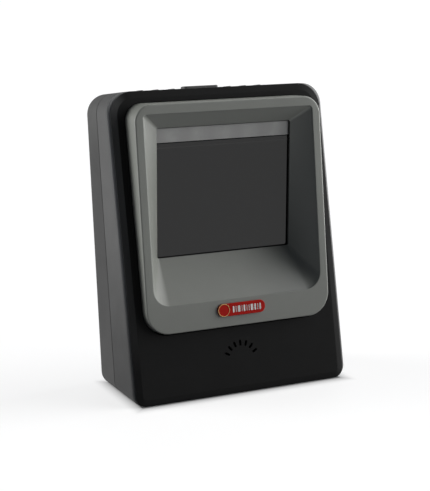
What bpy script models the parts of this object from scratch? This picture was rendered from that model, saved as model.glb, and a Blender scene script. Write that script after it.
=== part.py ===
"""Upright hands-free barcode scanner, modelled as an assembly of separate pieces.

Metres, +Z up. The front faces -Y and +X is to the right as seen from the front. The rubber
feet hold the case FOOT_GAP above the counter. Everything is parented to one empty, and inside
its frame the underside of the case is at z = UNDERSIDE. "Depth" is along +Y, from the front
panel to the rear cover.
"""

from math import atan, cos, pi, radians, sin

import bmesh
import bpy
from mathutils import Matrix, Vector

MM = 0.001
GAP = 0.3 * MM  # clearance that neighbouring pieces keep

# Case: two leaning planes, y = base + lean * z, bound it in front and behind
CASE_HEIGHT = 150.0 * MM
CASE_HALF_WIDTH = 60.2 * MM
FRONT_BASE = -32.1 * MM
FRONT_LEAN = 0.2167
REAR_BASE = 16.8 * MM
REAR_LEAN = 0.109
SEAM_BASE = -7.05 * MM
SEAM_LEAN = 0.1455
TOP_FALL = 0.1459  # the top drops this much for each metre towards the rear
CASE_TOP_RADIUS = 10.0 * MM
CASE_LOW_RADIUS = 6.0 * MM
REAR_EDGE_RADIUS = 7.0 * MM
UNDERSIDE = -0.9 * MM
WALL = 2.2 * MM
LAP = 2.0 * MM  # length of the tongue at the seam
LAP_SKIN = 1.0 * MM
FOOT_GAP = 0.3 * MM

# Black front panel, narrower than the case, so that the housing's rim shows round it
PANEL_HALF_WIDTH = 58.6 * MM
PANEL_TOP_RADIUS = 12.0 * MM
PANEL_LOW_RADIUS = 5.0 * MM
PANEL_SKIRT = 1.0 * MM  # depth at which it meets the housing
PANEL_EDGE_RADIUS = 0.9 * MM
PANEL_THICKNESS = 2.0 * MM
PANEL_LIP = 3.2 * MM  # how far its lip reaches inside the housing
PANEL_LIP_INSET = 3.4 * MM
PANEL_LIP_WALL = 1.2 * MM
FLANGE_DEPTH = 2.0 * MM  # thickness of the housing's rim round the lip

# Grey bezel and its funnel down to the window
BEZEL_BASE = -33.1 * MM
BEZEL_LEAN = 0.135
BEZEL_HALF_WIDTH = 51.3 * MM
BEZEL_LOW = 33.3 * MM
BEZEL_HIGH = 145.0 * MM
BEZEL_LOW_RADIUS = 12.0 * MM
BEZEL_HIGH_RADIUS = 9.0 * MM
BEZEL_EDGE_RADIUS = 0.8 * MM
BEZEL_THICKNESS = 1.8 * MM
BEZEL_WALL = 1.6 * MM
BEZEL_SETTING = 2.6 * MM  # how far its side wall reaches behind the panel's face
MOUTH_HALF_WIDTH = 46.6 * MM
MOUTH_LOW = 47.4 * MM
MOUTH_HIGH = 139.9 * MM
MOUTH_LOW_RADIUS = 8.5 * MM
MOUTH_HIGH_RADIUS = 1.6 * MM
MOUTH_EDGE_RADIUS = 0.6 * MM
WINDOW_Y = -8.45 * MM
WINDOW_HALF_WIDTH = 37.3 * MM
WINDOW_LOW = 67.0 * MM
WINDOW_HIGH = 132.5 * MM
WINDOW_RADIUS = 1.0 * MM

# Optics behind the window
GASKET_DEPTH = 0.9 * MM
GASKET_WIDTH = 3.2 * MM
PANE_DEPTH = 1.5 * MM
PANE_LAP = 2.2 * MM  # how far the pane reaches past the window's edge
LIGHT_BAR_LOW = 124.9 * MM
LIGHT_BAR_PROUD = 0.4 * MM
CHASSIS_FLANGE = 2.0 * MM
CHASSIS_BOSS_RADIUS = 2.6 * MM
CHASSIS_PILOT_RADIUS = 1.4 * MM
CHASSIS_PILOT_DEPTH = 5.0 * MM
CHASSIS_SCREW_PLACES = ((-43.6 * MM, 124 * MM), (43.6 * MM, 78 * MM))
CHASSIS_WALL = 1.4 * MM
CHASSIS_SHELF = 4.4 * MM  # from its front to where the cone starts
CHASSIS_BACK = 13.0 * MM  # from its front to where the cone ends
CHASSIS_TAIL = 1.6 * MM
LENS_HEIGHT = 97.0 * MM
IMAGER_Y = 15.0 * MM
IMAGER_SIZE = (40 * MM, 1.2 * MM, 28 * MM)
IMAGER_HOLE_RADIUS = 1.2 * MM
SENSOR_SIZE = (8 * MM, MM, 8 * MM)
BARREL_LENGTH = 8.6 * MM
LENS_RADIUS = 3.6 * MM
AIMING_LED_X = 11.6 * MM
LED_COUNT = 5
LED_SPACING = 14.4 * MM
LED_SIZE = (3.5 * MM, 0.9 * MM, 2.8 * MM)
LED_ROOM = 2.2 * MM  # from the chassis's front to the light board
BAFFLE_THICKNESS = 0.8 * MM

# Electronics below the window
MAIN_BOARD_Y = 2.0 * MM
MAIN_BOARD_SIZE = (86 * MM, 1.6 * MM, 50 * MM)
MAIN_BOARD_LOW = 7.0 * MM
JACK_SIZE = (14.6 * MM, 13.6 * MM, 12.4 * MM)
JACK_HEIGHT = 15.0 * MM
BOARD_HOLE_RADIUS = 1.5 * MM
FLAT_CABLE_WIDTH = 12 * MM
CABLE_SOCKET_WIDTH = 16 * MM
LEAD_RADIUS = 0.7 * MM

# Loudspeaker behind the fan of slots
SPEAKER_HEIGHT = 17.0 * MM
SPEAKER_RADIUS = 10.0 * MM
MAGNET_RADIUS = 6.4 * MM
SLOT_COUNT = 7
SLOT_STEP = 21  # degrees between slots
SLOT_ARC_HEIGHT = 15.0 * MM
SLOT_ARC_RADIUS = 8.7 * MM
SLOT_LENGTH = 3.0 * MM
SLOT_WIDTH = 1.2 * MM

# Key on top, in its own tilted frame
KEY_Y = 21.2 * MM
KEY_SIZE = (19.4 * MM, 6.2 * MM)
KEY_PROUD = 1.8 * MM
KEY_FLANGE = 1.2 * MM
KEY_RADIUS = 1.6 * MM
KEY_RIM = (1.4 * MM, 0.9 * MM)  # how far the flange reaches past the key, along X and Y
KEY_SCREW_X = 15.5 * MM
KEY_HOLE_RADIUS = 1.2 * MM
KEY_BOARD_SIZE = (38 * MM, 8 * MM, 1.2 * MM)
SWITCH_SIZE = (6 * MM, 6 * MM, 3.2 * MM)
STEM_RADIUS = 1.6 * MM
STEM_LENGTH = 2.2 * MM
STEM_PROUD = 1.3 * MM  # what shows of the stem above the switch
FLANGE_LOW = -(WALL + GAP + KEY_FLANGE)  # heights in the key's frame, from the case's top
SWITCH_TOP = FLANGE_LOW - GAP - STEM_PROUD
KEY_BOARD_TOP = SWITCH_TOP - SWITCH_SIZE[2] - GAP
RIB_PLACES = (16 * MM, 25 * MM, 33.5 * MM)
RIB_SIZE = (2.2 * MM, 6.4 * MM)
RIB_PROUD = 0.9 * MM

# Fasteners and feet
CASE_SCREW_X = 49.0 * MM
CASE_SCREW_HEIGHTS = (14 * MM, 129 * MM)
CASE_BOSS_LENGTH = 10 * MM  # from the rear face to the tip of a case screw's boss
CASE_SEAT = 2 * MM  # from the boss's tip to the bottom of the well for the head
CASE_HOLE_RADIUS = 1.8 * MM
POST_RADIUS = 3.6 * MM
POST_REACH = 9 * MM  # how far a screw post starts in front of the seam
POST_PILOT_DEPTH = 13 * MM
WEB_THICKNESS = 2.4 * MM
FOOT_PLACES = [(x * MM, y * MM) for y in (-22, 3.5) for x in (-46, 46)]
FOOT_RADIUS = 5.0 * MM
FOOT_THICKNESS = 1.4 * MM
BALLAST_LOW = (-38 * MM, -23.5 * MM, UNDERSIDE + WALL + GAP)
BALLAST_SIZE = (76 * MM, 22.5 * MM, 3.2 * MM)
BADGE_HEIGHT = 41.9 * MM
BADGE_SIZE = (26.6 * MM, 6.4 * MM)
BADGE_PROUD = 0.9 * MM

CORNER_STEPS = 6
ROUND_STEPS = 24

# Principled colour, roughness, metallic
FINISHES = {
    "case_grey": ((0.135, 0.135, 0.130), 0.50, 0.0),
    "housing_grey": ((0.150, 0.148, 0.142), 0.38, 0.0),
    "panel_black": ((0.012, 0.012, 0.012), 0.38, 0.0),
    "bezel_grey": ((0.150, 0.155, 0.140), 0.40, 0.0),
    "smoked_pane": ((0.020, 0.020, 0.021), 0.08, 0.0),
    "diffuser_white": ((0.55, 0.55, 0.53), 0.35, 0.0),
    "black_rubber": ((0.010, 0.010, 0.010), 0.75, 0.0),
    "black_plastic": ((0.018, 0.018, 0.018), 0.55, 0.0),
    "circuit_green": ((0.010, 0.090, 0.035), 0.45, 0.0),
    "chip_black": ((0.015, 0.015, 0.016), 0.50, 0.0),
    "tinned_steel": ((0.62, 0.62, 0.60), 0.30, 1.0),
    "zinc_steel": ((0.55, 0.56, 0.58), 0.35, 1.0),
    "lens_glass": ((0.10, 0.14, 0.22), 0.03, 0.0),
    "led_yellow": ((0.75, 0.62, 0.20), 0.30, 0.0),
    "paper_cone": ((0.030, 0.028, 0.026), 0.90, 0.0),
    "foam_grey": ((0.060, 0.060, 0.060), 0.95, 0.0),
    "cable_white": ((0.62, 0.62, 0.60), 0.50, 0.0),
    "cable_jacket": ((0.012, 0.012, 0.012), 0.50, 0.0),
    "badge_red": ((0.42, 0.020, 0.012), 0.30, 0.0),
}


def clear_scene():
    for obj in list(bpy.data.objects):
        bpy.data.objects.remove(obj, do_unlink=True)
    for old in list(bpy.data.collections):
        bpy.data.collections.remove(old)


def new_collection(name):
    made = bpy.data.collections.new(name)
    bpy.context.scene.collection.children.link(made)
    return made


clear_scene()
PARTS = new_collection("barcode_scanner")
CUTTERS = new_collection("cutters")
CUTTERS.hide_render = True


def new_material(name):
    colour, roughness, metallic = FINISHES[name]
    made = bpy.data.materials.get(name) or bpy.data.materials.new(name)
    made.use_nodes = True
    shader = made.node_tree.nodes["Principled BSDF"]
    shader.inputs["Base Color"].default_value = (*colour, 1.0)
    shader.inputs["Roughness"].default_value = roughness
    shader.inputs["Metallic"].default_value = metallic
    made.diffuse_color = (*colour, 1.0)
    return made


def new_empty(name, location, lean=0.0, parent=None):
    """A frame to hang pieces on; lean tilts it back about X, in radians."""
    made = bpy.data.objects.new(name, None)
    PARTS.objects.link(made)
    made.empty_display_size = 0.01
    made.parent = parent
    made.location = location
    made.rotation_euler = (-lean, 0, 0)
    return made


CASE = new_empty("case_frame", (0, 0, FOOT_GAP - UNDERSIDE))


# ---------------------------------------------------------------- building blocks


def place(name, mesh, finish, parent, location=(0, 0, 0), rotation=(0, 0, 0)):
    """Links a mesh as a piece; with no finish it is a cutter or a lump to be joined."""
    made = bpy.data.objects.new(name, mesh)
    made.parent = parent or CASE
    made.location = location
    made.rotation_euler = rotation
    if finish:
        PARTS.objects.link(made)
        mesh.materials.append(new_material(finish))
    else:
        CUTTERS.objects.link(made)
        made.hide_render = True
        made.display_type = "WIRE"
    return made


def smooth(obj, angle=35):
    obj.data.shade_smooth()
    obj.data.set_sharp_from_angle(angle=radians(angle))
    return obj


def bevelled(obj, width, segments=1):
    bevel = obj.modifiers.new("edges", "BEVEL")
    bevel.width = width
    bevel.segments = segments
    bevel.limit_method = "ANGLE"
    bevel.angle_limit = radians(40)
    return obj


def block(name, low, high, finish=None, parent=None, edge=0.0):
    """A box between two corners given in the parent's frame."""
    low, high = Vector(low), Vector(high)
    mesh = bpy.data.meshes.new(name)
    form = bmesh.new()
    bmesh.ops.create_cube(form, size=1.0)
    bmesh.ops.scale(form, vec=high - low, verts=form.verts)
    form.to_mesh(mesh)
    form.free()
    made = place(name, mesh, finish, parent, (low + high) / 2)
    return bevelled(made, edge) if edge else made


def rod(name, radius, start, end, finish=None, parent=None, steps=ROUND_STEPS):
    """A cylinder from start to end, which lie on one line along an axis."""
    start, end = Vector(start), Vector(end)
    along = end - start
    mesh = bpy.data.meshes.new(name)
    form = bmesh.new()
    bmesh.ops.create_cone(
        form, cap_ends=True, segments=steps, radius1=radius, radius2=radius, depth=along.length
    )
    form.to_mesh(mesh)
    form.free()
    turn = along.to_track_quat("Z", "Y").to_euler()
    made = place(name, mesh, finish, parent, (start + end) / 2, turn)
    return smooth(made) if finish else made


def turned(name, profile, finish, parent=None, location=(0, 0, 0), ring=False, steps=ROUND_STEPS):
    """A turned piece on an axis along depth. The profile is (radius, depth) in metres, from
    the rear down the outer side to the front; a ring's profile closes on itself."""
    mesh = bpy.data.meshes.new(name)
    corners = [(radius, 0, depth) for radius, depth in profile]
    joins = [(i, i + 1) for i in range(len(corners) - 1)]
    if ring:
        joins.append((len(corners) - 1, 0))
    mesh.from_pydata(corners, joins, [])
    made = place(name, mesh, finish, parent, location, (-pi / 2, 0, 0))
    screw = made.modifiers.new("turn", "SCREW")
    screw.steps = steps
    screw.render_steps = steps
    screw.use_merge_vertices = True
    screw.merge_threshold = 1e-5
    screw.use_smooth_shade = False
    return made


def to_mesh_object(curve, finish):
    """Replaces a curve object by a mesh object whose caps are welded on."""
    bpy.context.view_layer.update()
    graph = bpy.context.evaluated_depsgraph_get()
    mesh = bpy.data.meshes.new_from_object(curve.evaluated_get(graph))
    form = bmesh.new()
    form.from_mesh(mesh)
    bmesh.ops.remove_doubles(form, verts=form.verts, dist=1e-6)
    form.to_mesh(mesh)
    form.free()
    mesh.materials.clear()
    name = curve.name
    parent, location, rotation = curve.parent, curve.location.copy(), curve.rotation_euler.copy()
    bpy.data.objects.remove(curve, do_unlink=True)
    return place(name, mesh, finish, parent, location, rotation)


def flat_curve(name, points, extrude, fill="BOTH"):
    """A 2D curve through (across, up) points, extruded both ways from its own plane. A filled
    one is closed."""
    flat = bpy.data.curves.new(name, "CURVE")
    flat.dimensions = "2D"
    flat.fill_mode = fill
    flat.extrude = extrude
    spline = flat.splines.new("POLY")
    spline.points.add(len(points) - 1)
    for point, (across, up) in zip(spline.points, points):
        point.co = (across, up, 0, 1)
    spline.use_cyclic_u = fill == "BOTH"
    made = bpy.data.objects.new(name, flat)
    CUTTERS.objects.link(made)
    made.parent = CASE
    return made


def slab(name, points, front, rear, finish=None, parent=None):
    """A flat outline of (x, z) points, solid from depth front to depth rear."""
    made = flat_curve(name, points, (rear - front) / 2)
    made.parent = parent or CASE
    made.location = (0, (front + rear) / 2, 0)
    made.rotation_euler = (pi / 2, 0, 0)
    return to_mesh_object(made, finish)


def plan_slab(name, points, low, high, finish, parent):
    """A plan outline of (x, y) points, solid from height low to height high."""
    made = flat_curve(name, points, (high - low) / 2)
    made.parent = parent
    made.location = (0, 0, (high + low) / 2)
    return to_mesh_object(made, finish)


def lead(name, radius, route, finish):
    """A thin insulated lead along a route in millimetres that is smoothed into one curve."""
    line = bpy.data.curves.new(name, "CURVE")
    line.dimensions = "3D"
    line.bevel_depth = radius
    line.bevel_resolution = 2
    line.use_fill_caps = True
    points = smooth_route([Vector(point) * MM for point in route])
    spline = line.splines.new("POLY")
    spline.points.add(len(points) - 1)
    for point, spot in zip(spline.points, points):
        point.co = (*spot, 1)
    made = bpy.data.objects.new(name, line)
    made.parent = CASE
    PARTS.objects.link(made)
    line.materials.append(new_material(finish))
    return made


def smooth_route(route, steps=4):
    """Catmull-Rom points through a route."""
    ends = [2 * route[0] - route[1], *route, 2 * route[-1] - route[-2]]
    points = []
    for a, b, c, d in zip(ends, ends[1:], ends[2:], ends[3:]):
        for i in range(steps):
            t = i / steps
            bend = (2 * a - 5 * b + 4 * c - d) * t**2 + (3 * b - a - 3 * c + d) * t**3
            points.append((2 * b + (c - a) * t + bend) / 2)
    return [*points, route[-1]]


def use_boolean(obj, other, operation):
    change = obj.modifiers.new(f"{operation.lower()} {other.name}", "BOOLEAN")
    change.operation = operation
    change.object = other
    return obj


def cut(obj, *cutters):
    for cutter in cutters:
        use_boolean(obj, cutter, "DIFFERENCE")
    return obj


def join(obj, *lumps):
    for lump in lumps:
        use_boolean(obj, lump, "UNION")
    return obj


# ---------------------------------------------------------------- rings and lofts


def rounded(half_width, low, high, low_radius, high_radius, side_steps=1):
    """(x, z) points of a rounded rectangle, anticlockwise from its lower right corner, with
    each straight side in side_steps pieces."""
    corners = (
        (half_width - low_radius, low + low_radius, low_radius, -90),
        (half_width - high_radius, high - high_radius, high_radius, 0),
        (high_radius - half_width, high - high_radius, high_radius, 90),
        (low_radius - half_width, low + low_radius, low_radius, 180),
    )
    points = []
    for x, z, radius, start in corners:
        for i in range(CORNER_STEPS + 1):
            angle = radians(start + 90 * i / CORNER_STEPS)
            points.append(Vector((x + radius * cos(angle), z + radius * sin(angle))))
    if side_steps == 1:
        return points
    per_corner = CORNER_STEPS + 1
    split = []
    for corner in range(4):
        arc = points[corner * per_corner : (corner + 1) * per_corner]
        after = points[(corner + 1) * per_corner % len(points)]
        split += arc + [arc[-1].lerp(after, i / side_steps) for i in range(1, side_steps)]
    return split


def shrunk(frame, inset):
    """The rounded rectangle's five sizes after its edge moves in by inset."""
    half_width, low, high, low_radius, high_radius = frame
    least = 0.3 * MM
    return (
        half_width - inset,
        low + inset,
        high - inset,
        max(low_radius - inset, least),
        max(high_radius - inset, least),
    )


def ring(frame, base, lean, inset=0.0, side_steps=1):
    """The rounded rectangle laid on the leaning plane y = base + lean * z."""
    outline = rounded(*shrunk(frame, inset), side_steps)
    return [Vector((x, base + lean * z, z)) for x, z in outline]


def between(near, far, steps):
    """Rings part of the way from one to the other, both ends left out."""
    return [[a.lerp(b, i / steps) for a, b in zip(near, far)] for i in range(1, steps)]


def loft(name, rings, finish, capped=False, parent=None):
    """Skins rings of equal length in order: on into the first again, or with flat caps."""
    mesh = bpy.data.meshes.new(name)
    form = bmesh.new()
    rows = [[form.verts.new(point) for point in points] for points in rings]
    pairs = list(zip(rows, rows[1:]))
    if not capped:
        pairs.append((rows[-1], rows[0]))
    for near, far in pairs:
        for i, corner in enumerate(near):
            form.faces.new((near[i - 1], corner, far[i], far[i - 1]))
    if capped:
        form.faces.new(rows[0])
        form.faces.new(rows[-1])
    bmesh.ops.recalc_face_normals(form, faces=form.faces)
    form.to_mesh(mesh)
    form.free()
    return smooth(place(name, mesh, finish, parent))


def quarter(radius, steps):
    """(inset, depth) pairs round an edge, from the side wall onto the face."""
    turns = [radians(90 * i / steps) for i in range(steps + 1)]
    return [(radius * (1 - cos(t)), radius * (1 - sin(t))) for t in turns]


def top_height(base, lean):
    """Where the case's falling top meets the plane y = base + lean * z."""
    front_top = FRONT_BASE + FRONT_LEAN * CASE_HEIGHT
    return (CASE_HEIGHT - TOP_FALL * (base - front_top)) / (1 + TOP_FALL * lean)


def case_frame_at(base, lean):
    high = top_height(base, lean)
    return (CASE_HALF_WIDTH, UNDERSIDE, high, CASE_LOW_RADIUS, CASE_TOP_RADIUS)


def case_ring(base, lean, inset=0.0):
    return ring(case_frame_at(base, lean), base, lean, inset)


# ---------------------------------------------------------------- case


def panel_ring(depth, inset=0.0):
    """The panel's outline at a depth behind its face."""
    frame = (PANEL_HALF_WIDTH, UNDERSIDE, CASE_HEIGHT, PANEL_LOW_RADIUS, PANEL_TOP_RADIUS)
    return ring(frame, FRONT_BASE + depth, FRONT_LEAN, inset)


def make_front_panel():
    opening = bezel_foot()
    lip_outer, lip_inner = PANEL_LIP_INSET, PANEL_LIP_INSET + PANEL_LIP_WALL
    lip_end = PANEL_SKIRT + PANEL_LIP
    rings = [panel_ring(lip_end, lip_outer), panel_ring(PANEL_SKIRT, lip_outer)]
    rings += [panel_ring(depth, inset) for inset, depth in quarter(PANEL_EDGE_RADIUS, 4)]
    rings += [ring(opening, FRONT_BASE + depth, FRONT_LEAN, -GAP) for depth in (0, PANEL_THICKNESS)]
    rings += [panel_ring(PANEL_THICKNESS, lip_inner), panel_ring(lip_end, lip_inner)]
    panel = loft("front_panel", rings, "panel_black")
    cut(panel, sound_slots())


def sound_slots():
    """Seven slots that fan out above the loudspeaker's centre."""
    form = bmesh.new()
    for i in range(SLOT_COUNT):
        angle = radians(SLOT_STEP * (i - (SLOT_COUNT - 1) / 2))
        made = bmesh.ops.create_cube(form, size=1.0)["verts"]
        bmesh.ops.scale(form, vec=(SLOT_WIDTH, 8 * MM, SLOT_LENGTH), verts=made)
        bmesh.ops.translate(form, vec=(0, 0, SLOT_ARC_RADIUS), verts=made)
        bmesh.ops.rotate(form, cent=(0, 0, 0), matrix=Matrix.Rotation(angle, 3, "Y"), verts=made)
    mesh = bpy.data.meshes.new("sound_slots")
    form.to_mesh(mesh)
    form.free()
    height = SLOT_ARC_HEIGHT
    return place("sound_slots", mesh, None, CASE, (0, FRONT_BASE + FRONT_LEAN * height, height))


def bezel_frame():
    return (BEZEL_HALF_WIDTH, BEZEL_LOW, BEZEL_HIGH, BEZEL_LOW_RADIUS, BEZEL_HIGH_RADIUS)


def bezel_foot():
    """The bezel's outline where it passes through the panel, a little lower than its face."""
    half_width, low, high, low_radius, high_radius = bezel_frame()
    drop = 1.0 * MM
    return (half_width, low - drop, high - drop, low_radius, high_radius)


def mouth_frame():
    return (MOUTH_HALF_WIDTH, MOUTH_LOW, MOUTH_HIGH, MOUTH_LOW_RADIUS, MOUTH_HIGH_RADIUS)


def window_frame():
    return (WINDOW_HALF_WIDTH, WINDOW_LOW, WINDOW_HIGH, WINDOW_RADIUS, WINDOW_RADIUS)


def make_window_bezel():
    sides = 5

    def face(frame, depth, inset):
        return ring(frame, BEZEL_BASE + depth, BEZEL_LEAN, inset, sides)

    def foot(inset):
        return ring(bezel_foot(), FRONT_BASE + BEZEL_SETTING, FRONT_LEAN, inset, sides)

    rings = [foot(0)]
    rings += [face(bezel_frame(), depth, inset) for inset, depth in quarter(BEZEL_EDGE_RADIUS, 3)]
    mouth_edge = reversed(quarter(MOUTH_EDGE_RADIUS, 2))
    rings += [face(mouth_frame(), depth, -inset) for inset, depth in mouth_edge]
    end, outer_end = [ring(window_frame(), WINDOW_Y, 0.0, inset, sides) for inset in (0, -BEZEL_WALL)]
    outer_mouth = face(mouth_frame(), BEZEL_THICKNESS, -BEZEL_WALL)
    rings += [*between(rings[-1], end, 3), end]
    rings += [outer_end, *between(outer_end, outer_mouth, 3), outer_mouth]
    rings += [face(bezel_frame(), BEZEL_THICKNESS, BEZEL_WALL), foot(BEZEL_WALL)]
    bezel = loft("window_bezel", rings, "bezel_grey")
    tip = WINDOW_Y + GASKET_DEPTH + PANE_DEPTH + 1.5 * GAP
    radius = CHASSIS_BOSS_RADIUS
    for number, (x, z) in enumerate(CHASSIS_SCREW_PLACES, start=1):
        start = (x, funnel_depth(abs(x) - radius, z) + 0.5 * MM, z)
        boss = rod(f"chassis_boss_{number}", radius, start, (x, tip, z), steps=16)
        pilot_start = (x, tip - CHASSIS_PILOT_DEPTH, z)
        pilot = rod(f"chassis_pilot_{number}", CHASSIS_PILOT_RADIUS, pilot_start, (x, tip + MM, z), steps=12)
        cut(join(bezel, boss), pilot)


def funnel_depth(x, z):
    """Depth of the funnel's side wall at a distance x from the middle."""
    mouth = BEZEL_BASE + BEZEL_LEAN * z + MOUTH_EDGE_RADIUS
    along = (MOUTH_HALF_WIDTH - x) / (MOUTH_HALF_WIDTH - WINDOW_HALF_WIDTH)
    return mouth + along * (WINDOW_Y - mouth)


def make_middle_housing():
    rim = PANEL_SKIRT + GAP
    front = FRONT_BASE + rim
    edge = 0.4 * MM
    tongue = LAP_SKIN + GAP
    seam = SEAM_BASE - GAP / 2
    rings = [
        panel_ring(rim, PANEL_LIP_INSET - GAP),
        case_ring(front, FRONT_LEAN, edge),
        case_ring(front + edge, FRONT_LEAN),
        case_ring(seam, SEAM_LEAN),
        case_ring(seam, SEAM_LEAN, tongue),
        case_ring(SEAM_BASE + LAP, SEAM_LEAN, tongue),
        case_ring(SEAM_BASE + LAP, SEAM_LEAN, WALL),
        case_ring(front + FLANGE_DEPTH, FRONT_LEAN, WALL),
        panel_ring(rim + FLANGE_DEPTH, PANEL_LIP_INSET - GAP),
    ]
    housing = loft("middle_housing", rings, "housing_grey")
    for number, (x, z) in enumerate(case_screw_places(), start=1):
        start = SEAM_BASE + SEAM_LEAN * z - POST_REACH
        tip = boss_tip(z) - GAP
        post = rod(f"post_{number}", POST_RADIUS, (x, start, z), (x, tip, z))
        low_x, high_x = sorted((x, (CASE_HALF_WIDTH - WALL / 2) * (1 if x > 0 else -1)))
        low = (low_x, start, z - WEB_THICKNESS / 2)
        high = (high_x, start + POST_REACH - MM, z + WEB_THICKNESS / 2)
        web = block(f"web_{number}", low, high)
        pilot_start = (x, tip - POST_PILOT_DEPTH, z)
        pilot = rod(f"post_pilot_{number}", CASE_HOLE_RADIUS, pilot_start, (x, tip + MM, z), steps=16)
        cut(join(housing, post, web), pilot)
    cut(housing, *foot_pockets(rear=False))


def case_screw_places():
    return [(side * CASE_SCREW_X, z) for side in (-1, 1) for z in CASE_SCREW_HEIGHTS]


def boss_tip(z):
    """Depth where the rear cover's screw boss at height z ends, inside the case."""
    return REAR_BASE + REAR_LEAN * z - CASE_BOSS_LENGTH


def make_rear_cover():
    seam = SEAM_BASE + GAP / 2
    inner_edge = quarter(REAR_EDGE_RADIUS - WALL, 3)
    rings = [
        case_ring(REAR_BASE - WALL - depth, REAR_LEAN, WALL + inset) for inset, depth in reversed(inner_edge)
    ]
    rings += [case_ring(SEAM_BASE + LAP + GAP, SEAM_LEAN, inset) for inset in (WALL, LAP_SKIN)]
    rings += [case_ring(seam, SEAM_LEAN, inset) for inset in (LAP_SKIN, 0)]
    rings += [case_ring(REAR_BASE - depth, REAR_LEAN, inset) for inset, depth in quarter(REAR_EDGE_RADIUS, 4)]
    cover = loft("rear_cover", rings, "case_grey", capped=True)
    join(cover, *top_ribs())
    add_case_bosses(cover)
    add_board_bosses(cover)
    add_key_work(cover)
    cut(cover, *foot_pockets(rear=True), jack_opening())


def add_case_bosses(cover):
    """Bosses for the case screws, each with a well for the head and a hole for the shank."""
    for number, (x, z) in enumerate(case_screw_places(), start=1):
        tip, outer = boss_tip(z), REAR_BASE + REAR_LEAN * z
        boss = rod(f"boss_{number}", 4.6 * MM, (x, tip, z), (x, outer - WALL / 2, z))
        well = rod(f"well_{number}", 3.2 * MM, (x, tip + CASE_SEAT, z), (x, outer + 2 * MM, z))
        hole = rod(f"hole_{number}", CASE_HOLE_RADIUS, (x, tip - MM, z), (x, outer, z), steps=16)
        cut(join(cover, boss), well, hole)


def add_board_bosses(cover):
    """Bosses that the main board is screwed to."""
    front = MAIN_BOARD_Y + MAIN_BOARD_SIZE[1] + GAP
    for number, (x, z) in enumerate(board_screw_places(), start=1):
        inner = REAR_BASE + REAR_LEAN * z - WALL / 2
        boss = rod(f"board_boss_{number}", 2.8 * MM, (x, front, z), (x, inner, z), steps=16)
        pilot = rod(f"board_pilot_{number}", 1.5 * MM, (x, front - MM, z), (x, front + 8 * MM, z), steps=12)
        cut(join(cover, boss), pilot)


def jack_opening():
    width, _, height = JACK_SIZE
    low = (-width / 2 - GAP, MAIN_BOARD_Y, JACK_HEIGHT - height / 2 - GAP)
    high = (width / 2 + GAP, REAR_BASE + 10 * MM, JACK_HEIGHT + height / 2 + GAP)
    return block("jack_opening", low, high)


def top_ribs():
    """Low ribs in line with the key, on the falling top."""
    half_x, half_y = RIB_SIZE[0] / 2, RIB_SIZE[1] / 2
    ribs = []
    for number, x in enumerate([side * place_x for side in (-1, 1) for place_x in RIB_PLACES], start=1):
        low, high = (x - half_x, -half_y, -MM), (x + half_x, half_y, RIB_PROUD)
        ribs.append(block(f"top_rib_{number}", low, high, parent=KEY_FRAME))
    return ribs


def add_key_work(cover):
    """The key's hole in the cover and the two bosses that hold the key's board."""
    half_x, half_y = KEY_SIZE[0] / 2 + GAP, KEY_SIZE[1] / 2 + GAP
    for number, x in enumerate((-KEY_SCREW_X, KEY_SCREW_X), start=1):
        start, end = (x, 0, KEY_BOARD_TOP + GAP), (x, 0, -WALL / 2)
        boss = rod(f"key_boss_{number}", 2.2 * MM, start, end, parent=KEY_FRAME, steps=16)
        start, end = (x, 0, KEY_BOARD_TOP - MM), (x, 0, KEY_BOARD_TOP + 5 * MM)
        pilot = rod(f"key_pilot_{number}", KEY_HOLE_RADIUS, start, end, parent=KEY_FRAME, steps=12)
        cut(join(cover, boss), pilot)
    cut(cover, block("key_hole", (-half_x, -half_y, -6 * MM), (half_x, half_y, 4 * MM), parent=KEY_FRAME))


def foot_pockets(rear):
    pockets = []
    top = UNDERSIDE - FOOT_GAP + FOOT_THICKNESS + GAP
    for number, (x, y) in enumerate(FOOT_PLACES, start=1):
        if (y > 0) == rear:
            low, high = (x, y, UNDERSIDE - MM), (x, y, top)
            pockets.append(rod(f"foot_pocket_{number}", FOOT_RADIUS + GAP, low, high))
    return pockets


def make_feet():
    low = UNDERSIDE - FOOT_GAP
    for number, (x, y) in enumerate(FOOT_PLACES, start=1):
        foot = rod(f"foot_{number}", FOOT_RADIUS, (x, y, low), (x, y, low + FOOT_THICKNESS), "black_rubber")
        bevelled(foot, 0.3 * MM)


def screw(name, head, shank, parent=None, location=(0, 0, 0)):
    """A pan-head screw whose head is to the rear; location is under its head. The head and
    the shank are each (radius, length)."""
    head_radius, head_depth = head
    shank_radius, length = shank
    socket_radius, socket_floor = 0.3 * head_radius, 0.4 * head_depth
    profile = [
        (0, socket_floor),
        (socket_radius, socket_floor),
        (socket_radius, head_depth),
        (0.8 * head_radius, head_depth),
        (head_radius, 0.6 * head_depth),
        (head_radius, 0),
        (shank_radius, 0),
        (shank_radius, -length + shank_radius),
        (0, -length),
    ]
    return turned(name, profile, "zinc_steel", parent, location, steps=12)


def make_case_screws():
    for number, (x, z) in enumerate(case_screw_places(), start=1):
        seat = (x, boss_tip(z) + CASE_SEAT + GAP, z)
        screw(f"case_screw_{number}", (2.7 * MM, 2.0 * MM), (1.45 * MM, 14 * MM), location=seat)


# ---------------------------------------------------------------- window and optics


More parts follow.
